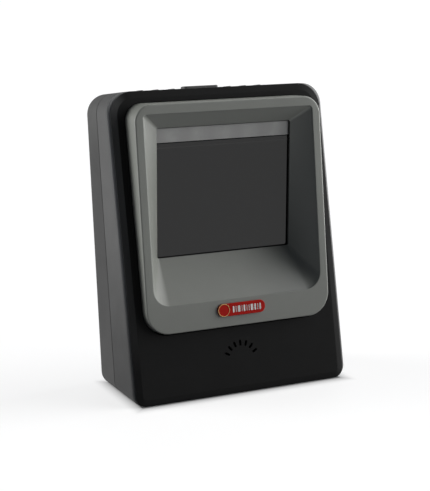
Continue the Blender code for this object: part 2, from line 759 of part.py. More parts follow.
def make_window():
    """The gasket, the pane and the light bar; returns the depth at which they end."""
    front = WINDOW_Y + GAP
    frame = window_frame()
    rear = front + GASKET_DEPTH
    depths = ((front, 0.0), (front, -GASKET_WIDTH), (rear, -GASKET_WIDTH), (rear, 0.0))
    loft("window_gasket", [ring(frame, depth, 0.0, inset) for depth, inset in depths], "black_rubber")
    pane_front = rear + GAP
    pane_rear = pane_front + PANE_DEPTH
    low, high = WINDOW_LOW - PANE_LAP, LIGHT_BAR_LOW - GAP
    pane = rounded(WINDOW_HALF_WIDTH + PANE_LAP, low, high, 1.5 * MM, 0.4 * MM)
    slab("window_pane", pane, pane_front, pane_rear, "smoked_pane")
    bar = rounded(WINDOW_HALF_WIDTH - GAP, LIGHT_BAR_LOW, WINDOW_HIGH - GAP, 0.4 * MM, 0.8 * MM)
    slab("light_diffuser", bar, pane_front - LIGHT_BAR_PROUD, pane_rear, "diffuser_white")
    return pane_rear + GAP


def make_lighting(chassis_front):
    board_front = chassis_front + LED_ROOM
    board_rear = board_front + MM
    low, high = LIGHT_BAR_LOW + 0.4 * MM, WINDOW_HIGH - 0.8 * MM
    half_width = WINDOW_HALF_WIDTH - 1.2 * MM
    block("light_board", (-half_width, board_front, low), (half_width, board_rear, high), "circuit_green")
    width, depth, height = LED_SIZE
    bottom = (low + high - height) / 2
    rear = board_front - GAP
    for number in range(LED_COUNT):
        x = LED_SPACING * (number - (LED_COUNT - 1) / 2)
        near, far = (x - width / 2, rear - depth, bottom), (x + width / 2, rear, bottom + height)
        block(f"light_led_{number + 1}", near, far, "led_yellow")
    top = LIGHT_BAR_LOW - GAP
    near, far = (-half_width, chassis_front, top - BAFFLE_THICKNESS), (half_width, board_rear, top)
    block("light_baffle", near, far, "black_plastic")


def make_optical_chassis(front):
    """A tapered light-tight box from the window's frame back to the camera."""
    shelf, back = front + CHASSIS_SHELF, front + CHASSIS_BACK
    big = (WINDOW_HALF_WIDTH - 0.6 * MM, WINDOW_LOW - 0.6 * MM, WINDOW_HIGH - GAP, 2 * MM, 2 * MM)
    flange = (46.6 * MM, 62.6 * MM, 136.4 * MM, 3 * MM, 3 * MM)
    small = (15 * MM, LENS_HEIGHT - 11 * MM, LENS_HEIGHT + 11 * MM, 2 * MM, 2 * MM)
    tail = (22 * MM, LENS_HEIGHT - 17 * MM, LENS_HEIGHT + 18 * MM, 2 * MM, 2 * MM)
    behind = Vector((0, 1.5 * MM, 0))
    part_way = behind.y / (back - shelf)
    cone_end = [
        near.lerp(far, part_way) + behind
        for near, far in zip(ring(small, back, 0.0), ring(big, shelf, 0.0))
    ]
    rings = [
        ring(flange, front, 0.0),
        ring(big, front, 0.0),
        ring(big, shelf, 0.0),
        ring(small, back, 0.0),
        ring(small, back + CHASSIS_TAIL, 0.0),
        ring(tail, back + CHASSIS_TAIL, 0.0),
        ring(tail, back, 0.0),
        cone_end,
        ring(big, shelf + 0.9 * MM, 0.0, -CHASSIS_WALL),
        ring(big, front + CHASSIS_FLANGE, 0.0, -CHASSIS_WALL),
        ring(flange, front + CHASSIS_FLANGE, 0.0),
    ]
    chassis = loft("optical_chassis", rings, "black_plastic")
    for number, (x, z) in enumerate(imager_screw_places(), start=1):
        start, end = (x, back + 0.7 * MM, z), (x, IMAGER_Y - GAP, z)
        post = rod(f"imager_post_{number}", 2.2 * MM, start, end, steps=16)
        start, end = (x, back + 2 * MM, z), (x, IMAGER_Y + MM, z)
        pilot = rod(f"imager_pilot_{number}", IMAGER_HOLE_RADIUS, start, end, steps=12)
        cut(join(chassis, post), pilot)
    seat = front + CHASSIS_FLANGE + GAP
    for number, (x, z) in enumerate(CHASSIS_SCREW_PLACES, start=1):
        start, end = (x, front - MM, z), (x, seat + MM, z)
        cut(chassis, rod(f"chassis_hole_{number}", CHASSIS_PILOT_RADIUS, start, end, steps=12))
        screw(f"chassis_screw_{number}", (2.1 * MM, 1.5 * MM), (1.05 * MM, 7 * MM), location=(x, seat, z))


def imager_screw_places():
    return [(side * 17 * MM, LENS_HEIGHT + dz * 11 * MM) for side, dz in ((-1, 1), (1, -1))]


def make_imager():
    width, depth, height = IMAGER_SIZE
    rear = IMAGER_Y + depth
    low = (-width / 2, IMAGER_Y, LENS_HEIGHT - height / 2)
    high = (width / 2, rear, LENS_HEIGHT + height / 2)
    board = block("imager_board", low, high, "circuit_green")
    for number, (x, z) in enumerate(imager_screw_places(), start=1):
        start, end = (x, IMAGER_Y - MM, z), (x, rear + MM, z)
        cut(board, rod(f"imager_hole_{number}", IMAGER_HOLE_RADIUS, start, end, steps=12))
        seat = (x, rear + GAP, z)
        screw(f"imager_screw_{number}", (1.8 * MM, 1.2 * MM), (0.9 * MM, 4.6 * MM), location=seat)
    front = IMAGER_Y - GAP
    width, depth, height = SENSOR_SIZE
    low = (-width / 2, front - depth, LENS_HEIGHT - height / 2)
    high = (width / 2, front, LENS_HEIGHT + height / 2)
    block("image_sensor", low, high, "chip_black")
    make_lens_group(front)
    for side, word in ((-1, "left"), (1, "right")):
        led = [(0, front), (1.7 * MM, front), (1.7 * MM, front - 0.8 * MM), (1.4 * MM, front - 0.8 * MM)]
        led += [(1.4 * MM, front - 3.2 * MM), (1.0 * MM, front - 4.1 * MM), (0, front - 4.5 * MM)]
        spot = (side * AIMING_LED_X, 0, LENS_HEIGHT)
        turned(f"aiming_led_{word}", led, "led_yellow", location=spot, steps=12)


def make_lens_group(front):
    """The holder on the imager's board, the barrel in it and the lens in the barrel."""
    axis = (0, 0, LENS_HEIGHT)
    bore, tube, foot = 6.1 * MM, 7.3 * MM, 9.4 * MM
    holder_front, step = front - 9 * MM, front - 2.4 * MM
    holder = [
        (foot, front),
        (foot, step),
        (tube, step),
        (tube, holder_front),
        (bore, holder_front),
        (bore, front),
    ]
    turned("lens_holder", holder, "black_plastic", location=axis, ring=True)
    barrel_rear = front - 3.4 * MM
    barrel_front = barrel_rear - BARREL_LENGTH
    outer, mouth, inner = bore - GAP, 4.6 * MM, LENS_RADIUS + 0.4 * MM
    barrel = [
        (outer, barrel_rear),
        (outer, barrel_front),
        (mouth, barrel_front),
        (inner, barrel_front + 1.4 * MM),
        (inner, barrel_rear),
    ]
    turned("lens_barrel", barrel, "black_plastic", location=axis, ring=True)
    lens("lens_front", barrel_front + 1.9 * MM, axis)


def lens(name, front, axis):
    """A biconvex lens; its front is the depth of the front crown."""
    radius, crown, edge = LENS_RADIUS, 0.5 * MM, 0.6 * MM
    profile = [(0, front + edge + 2 * crown), (0.6 * radius, front + edge + 1.65 * crown)]
    profile += [(radius, front + edge + crown), (radius, front + crown)]
    profile += [(0.6 * radius, front + 0.35 * crown), (0, front)]
    turned(name, profile, "lens_glass", location=axis, steps=20)


# ---------------------------------------------------------------- electronics


def board_screw_places():
    low = MAIN_BOARD_LOW + 4 * MM
    high = MAIN_BOARD_LOW + MAIN_BOARD_SIZE[2] - 4 * MM
    return [(-38 * MM, high), (38 * MM, low)]


def make_main_board():
    width, depth, height = MAIN_BOARD_SIZE
    front, rear = MAIN_BOARD_Y, MAIN_BOARD_Y + depth
    low, high = MAIN_BOARD_LOW, MAIN_BOARD_LOW + height
    board = block("main_board", (-width / 2, front, low), (width / 2, rear, high), "circuit_green")
    for number, (x, z) in enumerate(board_screw_places(), start=1):
        start, end = (x, front - MM, z), (x, rear + MM, z)
        cut(board, rod(f"board_hole_{number}", BOARD_HOLE_RADIUS, start, end, steps=12))
        seat = (x, front - GAP, z)
        fastener = screw(f"board_screw_{number}", (2.4 * MM, 1.6 * MM), (1.1 * MM, 8 * MM), location=seat)
        fastener.rotation_euler = (pi / 2, 0, 0)
    face = front - GAP
    low, high = (-30 * MM, face - 3 * MM, 24 * MM), (-4 * MM, face, 50 * MM)
    block("processor_shield", low, high, "tinned_steel", edge=0.5 * MM)
    low, high = (4 * MM, face - 1.1 * MM, 38 * MM), (16 * MM, face, 48 * MM)
    block("memory_chip", low, high, "chip_black")
    start, end = (12 * MM, face - 7 * MM, 26 * MM), (12 * MM, face, 26 * MM)
    rod("power_capacitor", 3.1 * MM, start, end, "tinned_steel")
    make_jack(rear + GAP)
    make_flat_cable(rear + GAP)


def make_jack(front):
    """A modular jack: a box with a stepped socket open to the rear."""
    width, depth, height = JACK_SIZE
    rear = front + depth
    base = JACK_HEIGHT - height / 2
    low, high = (-width / 2, front, base), (width / 2, rear, base + height)
    jack = block("interface_jack", low, high, "black_plastic")
    half, floor = 5.95 * MM, base + 3.6 * MM
    low, high = (-half, front + 2 * MM, floor), (half, rear + MM, floor + 7.6 * MM)
    socket = block("jack_socket", low, high)
    half, floor = 3.1 * MM, base + 1.2 * MM
    low, high = (-half, front + 5 * MM, floor), (half, rear + MM, floor + 3 * MM)
    cut(jack, socket, block("jack_latch_way", low, high))


def make_flat_cable(board_rear):
    """The imager's flat cable and the two sockets that it plugs into."""
    half = CABLE_SOCKET_WIDTH / 2
    low, high = (-half, board_rear, 49 * MM), (half, board_rear + 2.4 * MM, 54 * MM)
    block("cable_socket_main", low, high, "cable_white")
    start = Vector((board_rear + 1.2 * MM, 54 * MM + GAP))
    imager_rear = IMAGER_Y + IMAGER_SIZE[1] + GAP
    bottom = LENS_HEIGHT - 12 * MM
    low, high = (-half, imager_rear, bottom), (half, imager_rear + 2 * MM, bottom + 4 * MM)
    block("cable_socket_imager", low, high, "cable_white")
    end = Vector((imager_rear + MM, bottom - GAP))
    route = [start, start + Vector((0, 6 * MM)), end - Vector((0, 7 * MM)), end]
    points = smooth_route(route, steps=6)
    sheet = flat_curve("imager_flat_cable", points, FLAT_CABLE_WIDTH / 2, fill="NONE")
    sheet.rotation_euler = (pi / 2, 0, pi / 2)
    thick = to_mesh_object(sheet, "cable_white").modifiers.new("thickness", "SOLIDIFY")
    thick.thickness = 0.3 * MM
    thick.offset = 0


def make_speaker():
    """The loudspeaker, square to the panel behind its slots. Depths are behind the panel."""
    start = PANEL_THICKNESS * cos(atan(FRONT_LEAN)) + GAP
    rim, wall, band = SPEAKER_RADIUS, 0.8 * MM, 2 * MM
    foam_rear = start + MM
    foam = [(rim, foam_rear), (rim, start), (rim - band, start), (rim - band, foam_rear)]
    turned("speaker_foam_ring", foam, "foam_grey", SPEAKER_FRAME, ring=True)
    face = foam_rear + GAP
    bore, throat = 4.6 * MM, 6.2 * MM
    floor, rear = face + 2.8 * MM, face + 3.6 * MM
    cup = [
        (throat, rear),
        (rim, face + 2.4 * MM),
        (rim, face),
        (rim - wall, face),
        (rim - wall, face + 1.7 * MM),
        (throat, floor),
        (bore, floor),
        (bore, rear),
    ]
    turned("speaker_frame", cup, "tinned_steel", SPEAKER_FRAME, ring=True)
    edge, crown = rim - wall - GAP, 3.0 * MM
    cone = [
        (0, face + 1.5 * MM),
        (crown, face + 2.1 * MM),
        (edge, face + 0.9 * MM),
        (edge, face + 0.5 * MM),
        (crown, face + 1.6 * MM),
        (0, face + 1.0 * MM),
    ]
    turned("speaker_cone", cone, "paper_cone", SPEAKER_FRAME)
    front, rear = rear + GAP, rear + 3.6 * MM
    magnet = [(0, rear), (MAGNET_RADIUS, rear), (MAGNET_RADIUS, front), (0, front)]
    turned("speaker_magnet", magnet, "zinc_steel", SPEAKER_FRAME)


def make_leads():
    """Thin leads from the key's board and the loudspeaker to the main board."""
    face = (MAIN_BOARD_Y - GAP) / MM
    speaker_route = [
        (7.4, -20.6, 18),
        (9.6, -17.1, 18.5),
        (14, face - 8.5, 12),
        (22, face - 6, 12),
        (24, face - 3, 14),
        (24, face, 14),
    ]
    lead("speaker_lead", LEAD_RADIUS, speaker_route, "cable_jacket")
    key_route = [
        (24, 20, 136),
        (27.5, 20, 132),
        (29.5, 19, 122),
        (30, 15.5, 100),
        (30, 11, 80),
        (29.5, 6, 66),
        (28.5, -0.5, 60),
        (27, face - 3.2, 54),
        (26, face, 53),
    ]
    lead("key_lead", LEAD_RADIUS, key_route, "cable_jacket")


def make_ballast():
    high = Vector(BALLAST_LOW) + Vector(BALLAST_SIZE)
    block("ballast_plate", BALLAST_LOW, high, "zinc_steel", edge=0.5 * MM)


# ---------------------------------------------------------------- key and badge


def make_key():
    """The key slides along the normal of the case's top; its origin is on that axis."""
    half_x, half_y = KEY_SIZE[0] / 2, KEY_SIZE[1] / 2
    outline = rounded(half_x, -half_y, half_y, KEY_RADIUS, KEY_RADIUS)
    key = plan_slab("top_key", outline, FLANGE_LOW, KEY_PROUD, "case_grey", KEY_FRAME)
    rim_x, rim_y = half_x + KEY_RIM[0], half_y + KEY_RIM[1]
    low, high = (-rim_x, -rim_y, FLANGE_LOW), (rim_x, rim_y, FLANGE_LOW + KEY_FLANGE)
    join(key, block("key_flange", low, high, parent=KEY_FRAME))
    bevelled(key, 0.5 * MM, segments=2).modifiers["edges"].angle_limit = radians(60)


def make_key_board():
    """The switch under the key, on its own board with two screws."""
    stem_top = FLANGE_LOW - GAP
    start, end = (0, 0, stem_top - STEM_LENGTH), (0, 0, stem_top)
    rod("key_switch_stem", STEM_RADIUS, start, end, "black_plastic", KEY_FRAME)
    width, depth, height = SWITCH_SIZE
    low, high = (-width / 2, -depth / 2, SWITCH_TOP - height), (width / 2, depth / 2, SWITCH_TOP)
    body = block("key_switch_body", low, high, "tinned_steel", KEY_FRAME)
    start, end = (0, 0, SWITCH_TOP - 2 * MM), (0, 0, SWITCH_TOP + MM)
    cut(body, rod("stem_bore", STEM_RADIUS + 0.35 * MM, start, end, parent=KEY_FRAME))
    width, depth, height = KEY_BOARD_SIZE
    board_low = KEY_BOARD_TOP - height
    low, high = (-width / 2, -depth / 2, board_low), (width / 2, depth / 2, KEY_BOARD_TOP)
    board = block("key_board", low, high, "circuit_green", KEY_FRAME)
    for number, x in enumerate((-KEY_SCREW_X, KEY_SCREW_X), start=1):
        start, end = (x, 0, board_low - MM), (x, 0, KEY_BOARD_TOP + MM)
        cut(board, rod(f"key_board_hole_{number}", KEY_HOLE_RADIUS, start, end, parent=KEY_FRAME))
        name, seat = f"key_board_screw_{number}", (x, 0, board_low - GAP)
        fastener = screw(name, (1.8 * MM, 1.2 * MM), (0.9 * MM, 4.8 * MM), KEY_FRAME, seat)
        fastener.rotation_euler = (pi, 0, 0)


def make_badge():
    """A plain red plate on the bezel's lower face."""
    spot = (0, BEZEL_BASE + BEZEL_LEAN * BADGE_HEIGHT, BADGE_HEIGHT)
    frame = new_empty("badge_frame", spot, atan(BEZEL_LEAN), CASE)
    half_x, half_z = BADGE_SIZE[0] / 2, BADGE_SIZE[1] / 2
    plate = rounded(half_x, -half_z, half_z, MM, MM)
    slab("badge_plate", plate, -BADGE_PROUD, -GAP, "badge_red", frame)


KEY_TOP = CASE_HEIGHT - TOP_FALL * (KEY_Y - FRONT_BASE - FRONT_LEAN * CASE_HEIGHT)
KEY_FRAME = new_empty("key_frame", (0, KEY_Y, KEY_TOP), atan(TOP_FALL), CASE)
SPEAKER_SPOT = (0, FRONT_BASE + FRONT_LEAN * SPEAKER_HEIGHT, SPEAKER_HEIGHT)
SPEAKER_FRAME = new_empty("speaker_place", SPEAKER_SPOT, atan(FRONT_LEAN), CASE)


def main():
    make_front_panel()
    make_window_bezel()
    make_middle_housing()
    make_rear_cover()
    make_feet()
    make_case_screws()
    chassis_front = make_window()
    make_lighting(chassis_front)
    make_optical_chassis(chassis_front)
    make_imager()
    make_main_board()
    make_speaker()
    make_leads()
    make_ballast()
    make_key()
    make_key_board()
    make_badge()


main()
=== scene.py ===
"""Looks of an upright hands-free barcode scanner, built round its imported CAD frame.

Metres, +Z up. The front faces -Y and +X is to the right as seen from the front. Pieces are
modelled in the case's own frame, where the underside of the case is at z = UNDERSIDE, and are
then set on the feet. "Depth" is along +Y. An outline is five sizes of a rounded rectangle:
half width, low edge, high edge, and the radii of its low and high corners. A plane is
(base, lean), for y = base + lean * z.
"""

from math import atan, cos, pi, radians, sin

import bmesh
import bpy
from mathutils import Matrix, Quaternion, Vector


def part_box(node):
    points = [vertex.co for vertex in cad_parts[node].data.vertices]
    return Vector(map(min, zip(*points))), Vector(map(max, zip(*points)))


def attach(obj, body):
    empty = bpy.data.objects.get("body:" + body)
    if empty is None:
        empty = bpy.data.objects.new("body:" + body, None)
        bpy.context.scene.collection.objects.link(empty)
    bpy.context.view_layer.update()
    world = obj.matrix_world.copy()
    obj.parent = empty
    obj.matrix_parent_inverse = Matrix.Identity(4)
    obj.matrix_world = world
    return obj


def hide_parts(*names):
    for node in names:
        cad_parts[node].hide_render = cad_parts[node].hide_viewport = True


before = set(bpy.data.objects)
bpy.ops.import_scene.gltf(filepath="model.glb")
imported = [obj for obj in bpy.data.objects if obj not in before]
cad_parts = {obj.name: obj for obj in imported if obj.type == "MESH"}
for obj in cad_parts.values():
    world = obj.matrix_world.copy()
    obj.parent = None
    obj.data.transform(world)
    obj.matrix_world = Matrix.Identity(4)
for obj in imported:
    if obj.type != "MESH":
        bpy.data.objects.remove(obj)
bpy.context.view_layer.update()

MM = 0.001
GAP = 0.3 * MM  # clearance between neighbouring pieces
CORNER_STEPS = 14
EDGE_STEPS = 6
ROUND_STEPS = 48
ON_AXIS = 1e-7  # a smaller radius counts as none
LEAST_RADIUS = 0.3 * MM  # the tightest corner of an outline

# ---------------------------------------------------------------- sizes

# From the frame
UNDERSIDE = -0.9 * MM
CASE_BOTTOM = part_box("middle_housing")[0].z - UNDERSIDE
CASE_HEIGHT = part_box("front_panel")[1].z - CASE_BOTTOM
CASE_HALF_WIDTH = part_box("middle_housing")[1].x
PANEL_HALF_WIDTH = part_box("front_panel")[1].x
BEZEL_HALF_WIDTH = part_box("window_bezel")[1].x
BEZEL_FOOT_DROP = 1.0 * MM  # how much lower the bezel's foot is than its face
BEZEL_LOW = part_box("window_bezel")[0].z - CASE_BOTTOM + BEZEL_FOOT_DROP
BEZEL_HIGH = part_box("window_bezel")[1].z - CASE_BOTTOM
PANE_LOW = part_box("window_pane")[0].z - CASE_BOTTOM
PANE_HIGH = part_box("window_pane")[1].z - CASE_BOTTOM
PANE_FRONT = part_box("window_pane")[0].y
PANE_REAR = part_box("window_pane")[1].y
PANE_HALF_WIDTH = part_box("window_pane")[1].x
DIFFUSER_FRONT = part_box("light_diffuser")[0].y
DIFFUSER_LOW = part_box("light_diffuser")[0].z - CASE_BOTTOM
DIFFUSER_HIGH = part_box("light_diffuser")[1].z - CASE_BOTTOM
DIFFUSER_HALF_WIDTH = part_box("light_diffuser")[1].x
JACK_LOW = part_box("interface_jack")[0]
JACK_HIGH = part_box("interface_jack")[1]

# The planes that bound the case, and the fall of its top towards the rear
FRONT = (-32.1 * MM, 0.2167)
SEAM = (-7.05 * MM, 0.1455)
REAR = (16.8 * MM, 0.109)
FACE = (-33.1 * MM, 0.135)
TOP_FALL = 0.1459

# Radii and walls
CASE_LOW_RADIUS = 6.0 * MM
CASE_TOP_RADIUS = 10.0 * MM
REAR_EDGE_RADIUS = 7.0 * MM
WALL = 2.2 * MM
LAP = 2.0 * MM
LAP_SKIN = 1.0 * MM
PANEL_TOP_RADIUS = 12.0 * MM
PANEL_LOW_RADIUS = 5.0 * MM
PANEL_SKIRT = 1.0 * MM
PANEL_SKIRT_ROUND = 0.2 * MM
# The panel's rim turns over, slopes up and eases into the face: (inset, depth behind the face)
PANEL_EDGE = (
    (0, 0.79 * MM),
    (0.03 * MM, 0.72 * MM),
    (0.12 * MM, 0.66 * MM),
    (2.9 * MM, 0.08 * MM),
    (3.2 * MM, 0.03 * MM),
    (3.5 * MM, 0),
)
PANEL_THICKNESS = 2.0 * MM
PANEL_LIP = 3.2 * MM
PANEL_LIP_INSET = 3.4 * MM
PANEL_LIP_WALL = 1.2 * MM
FLANGE_DEPTH = 2.0 * MM
RIM_ROLL = 1.2 * MM  # depth over which the housing's side rolls onto its front rim
BEZEL_LOW_RADIUS = 12.0 * MM
BEZEL_TOP_RADIUS = 9.0 * MM
BEZEL_EDGE_RADIUS = 0.8 * MM
BEZEL_THICKNESS = 1.8 * MM
BEZEL_WALL = 1.6 * MM
BEZEL_SETTING = 2.6 * MM
MOUTH_EDGE_RADIUS = 0.6 * MM
SOFT_EDGE = 0.25 * MM  # the small round that a mould leaves on an edge

MOUTH = (46.6 * MM, 47.4 * MM, 139.9 * MM, 8.5 * MM, 1.6 * MM)
WINDOW = (37.3 * MM, 67.0 * MM, 132.5 * MM, 1.0 * MM, 1.0 * MM)
WINDOW_PLANE = (-8.45 * MM, 0.0)
GASKET_DEPTH = 0.9 * MM
GASKET_WIDTH = 3.2 * MM
GASKET_SOFT = 0.3 * MM

# Sound slots
SLOT_COUNT = 7
SLOT_STEP = 21  # degrees
SLOT_ARC_HEIGHT = 15.0 * MM
SLOT_ARC_RADIUS = 8.7 * MM
SLOT_LENGTH = 3.0 * MM
SLOT_WIDTH = 1.2 * MM
SLOT_CORNER = 0.45 * SLOT_WIDTH
SLOT_FLARE = 0.2 * MM
SLOT_CUTTER_REACH = 4 * MM

# Key, ribs, screws
KEY_Y = 21.2 * MM
KEY_SIZE = (19.4 * MM, 6.2 * MM)
KEY_PROUD = 1.8 * MM
KEY_FLANGE = 1.2 * MM
KEY_CORNER = 1.6 * MM
RIB_PLACES = (16 * MM, 25 * MM, 33.5 * MM)
RIB_HALF = (1.1 * MM, 3.2 * MM)
RIB_PROUD = 0.9 * MM
KEY_BOARD_SCREW_X = 15.5 * MM
CASE_SCREW_X = 49.0 * MM
CASE_SCREW_HEIGHTS = (14 * MM, 129 * MM)
CASE_SCREW_DEPTH = 10 * MM  # from the rear face to the tip of a screw's boss
CASE_BORE = 1.8 * MM
CASE_WELL_RADIUS = 3.2 * MM
POST_RADIUS = 3.6 * MM
POST_BORE_DEPTH = 13 * MM
POST_START = -9 * MM  # from the seam
WEB_HALF_HEIGHT = 1.2 * MM
WEB_DEPTH = 8 * MM
BOARD_SCREWS = ((-38 * MM, 53 * MM), (38 * MM, 11 * MM))
BOARD_REAR = 3.9 * MM
KEY_BOARD_TOP = -8.8 * MM  # in the key's frame
LED_SPACING = 14.4 * MM
CONTACT_COUNT = 10
CONTACT_PITCH = 1.02 * MM

# Badge
BADGE_FRONT = -0.3 * MM
BADGE_CORNER = 3.0 * MM
BAR_WIDTHS = [width * MM for width in (0.9, 0.5, 1.4, 0.5, 0.9, 0.5, 0.5, 1.4, 0.9, 0.5, 0.9)]
BAR_GAP = 0.7 * MM
BARS_X = 2.9 * MM
RING_X = 3.4 * MM  # from the badge's left end

# Finishes
MOTTLE = 9 * MM
GLOSS_PATCH = 14 * MM

# Studio
FLOOR_HALF = 9.0
FLOOR_GLOW = 0.74
# The floor's painted contact shadow: its glow is taken away under the case's footprint and rises
# back over this width.
FLOOR_GLOW_RISE = 7 * MM  # from the footprint's edge to the full glow
FOOTPRINT = (("X", -56 * MM, 56 * MM), ("Y", -32.3 * MM, 12 * MM))
CAMERA_PLACE = (-0.30290, -0.61316, 0.2238)
CAMERA_TARGET = (0.00380, 0.01004, 0.0673)
CAMERA_LENS = 99.64
CAMERA_ROLL = 0.18  # degrees


def outline_points(outline, inset=0.0, side_steps=1):
    """(x, z) points, anticlockwise from the lower right corner, after the edge moves in."""
    half_width, low, high, low_radius, high_radius = outline
    half_width, low, high = half_width - inset, low + inset, high - inset
    low_radius = max(low_radius - inset, LEAST_RADIUS)
    high_radius = max(high_radius - inset, LEAST_RADIUS)
    corners = (
        (half_width - low_radius, low + low_radius, low_radius, -90),
        (half_width - high_radius, high - high_radius, high_radius, 0),
        (high_radius - half_width, high - high_radius, high_radius, 90),
        (low_radius - half_width, low + low_radius, low_radius, 180),
    )
    arcs = []
    for x, z, radius, start in corners:
        turns = [radians(start + 90 * i / CORNER_STEPS) for i in range(CORNER_STEPS + 1)]
        arcs.append([Vector((x + radius * cos(turn), z + radius * sin(turn))) for turn in turns])
    points = []
    for arc, following in zip(arcs, arcs[1:] + arcs[:1]):
        points += arc
        points += [arc[-1].lerp(following[0], i / side_steps) for i in range(1, side_steps)]
    return points


def ring(outline, plane, depth=0.0, inset=0.0, side_steps=1):
    """The outline laid on a leaning plane, moved back by depth."""
    base, lean = plane
    points = outline_points(outline, inset, side_steps)
    return [Vector((x, base + depth + lean * z, z)) for x, z in points]


def between(near, far, steps):
    """Rings part of the way from one to the other, both ends left out."""
    return [[a.lerp(b, i / steps) for a, b in zip(near, far)] for i in range(1, steps)]


def quarter(radius, steps=EDGE_STEPS):
    """(inset, depth) pairs round an edge, from the side wall onto the face."""
    turns = [radians(90 * i / steps) for i in range(steps + 1)]
    return [(radius * (1 - cos(turn)), radius * (1 - sin(turn))) for turn in turns]


def skin(rings, capped=False):
    """A mesh through rings of equal length: on into the first again, or with flat caps."""
    form = bmesh.new()
    rows = [[form.verts.new(point) for point in points] for points in rings]
    pairs = list(zip(rows, rows[1:]))
    if not capped:
        pairs.append((rows[-1], rows[0]))
    for near, far in pairs:
        for i, corner in enumerate(near):
            form.faces.new((near[i - 1], corner, far[i], far[i - 1]))
    if capped:
        form.faces.new(rows[0])
        form.faces.new(rows[-1])
    return finished(form)


def finished(form):
    bmesh.ops.recalc_face_normals(form, faces=form.faces)
    mesh = bpy.data.meshes.new("form")
    form.to_mesh(mesh)
    form.free()
    return mesh


def turned(profile, start=(0, 0, 0), along=(0, 1, 0), ring_shaped=False):
    """A turned solid. The profile is (radius, distance along the axis from start); a
    ring-shaped one closes on itself, and any other ends on the axis."""
    turn = Vector(along).to_track_quat("Z", "Y").to_matrix().to_4x4()
    place = Matrix.Translation(start) @ turn
    form = bmesh.new()
    angles = [2 * pi * i / ROUND_STEPS for i in range(ROUND_STEPS)]
    rows = []
    for radius, distance in profile:
        points = [Vector((radius * cos(a), radius * sin(a), distance)) for a in angles]
        if radius < ON_AXIS:
            points = [Vector((0, 0, distance))]
        rows.append([form.verts.new(place @ point) for point in points])
    pairs = list(zip(rows, rows[1:]))
    if ring_shaped:
        pairs.append((rows[-1], rows[0]))
    for near, far in pairs:
        for i in range(ROUND_STEPS):
            if len(near) == 1:
                form.faces.new((near[0], far[i], far[i - 1]))
            elif len(far) == 1:
                form.faces.new((near[i - 1], near[i], far[0]))
            else:
                form.faces.new((near[i - 1], near[i], far[i], far[i - 1]))
    return finished(form)


def rod(radius, start, end):
    along = Vector(end) - Vector(start)
    return turned([(0, 0), (radius, 0), (radius, along.length), (0, along.length)], start, along)


def moved(mesh, matrix):
    mesh.transform(matrix)
    return mesh


def together(*meshes):
    """One mesh that holds several."""
    form = bmesh.new()
    for mesh in meshes:
        form.from_mesh(mesh)
        bpy.data.meshes.remove(mesh)
    return finished(form)


def carved(mesh, other, operation="DIFFERENCE"):
    """The mesh after a Boolean with another one."""
    objects = []
    for shape in (mesh, other):
        objects.append(bpy.data.objects.new("carving", shape))
        bpy.context.scene.collection.objects.link(objects[-1])
    change = objects[0].modifiers.new("cut", "BOOLEAN")
    change.operation = operation
    change.object = objects[1]
    bpy.context.view_layer.update()
    graph = bpy.context.evaluated_depsgraph_get()
    made = bpy.data.meshes.new_from_object(objects[0].evaluated_get(graph))
    for used in objects:
        bpy.data.objects.remove(used)
    return made


CASE = Matrix.Translation((0, 0, CASE_BOTTOM))
KEY_TOP = CASE_HEIGHT - TOP_FALL * (KEY_Y - FRONT[0] - FRONT[1] * CASE_HEIGHT)
KEY_FRAME = Matrix.Translation((0, KEY_Y, KEY_TOP)) @ Matrix.Rotation(-atan(TOP_FALL), 4, "X")


def piece(name, mesh, slot, *nodes, body="case"):
    """A visible piece that stands for CAD nodes and takes its finish from their slot."""
    made = bpy.data.objects.new(name, mesh)
    bpy.context.scene.collection.objects.link(made)
    made.matrix_world = CASE
    mesh.name = name
    mesh.materials.clear()
    mesh.materials.append(finish(slot))
    mesh.shade_smooth()
    mesh.set_sharp_from_angle(angle=radians(38))
    even = made.modifiers.new("even shading", "WEIGHTED_NORMAL")
    even.keep_sharp = True
    even.weight = 90
    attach(made, body)
    if nodes:
        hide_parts(*nodes)
    return made


# ---------------------------------------------------------------- materials


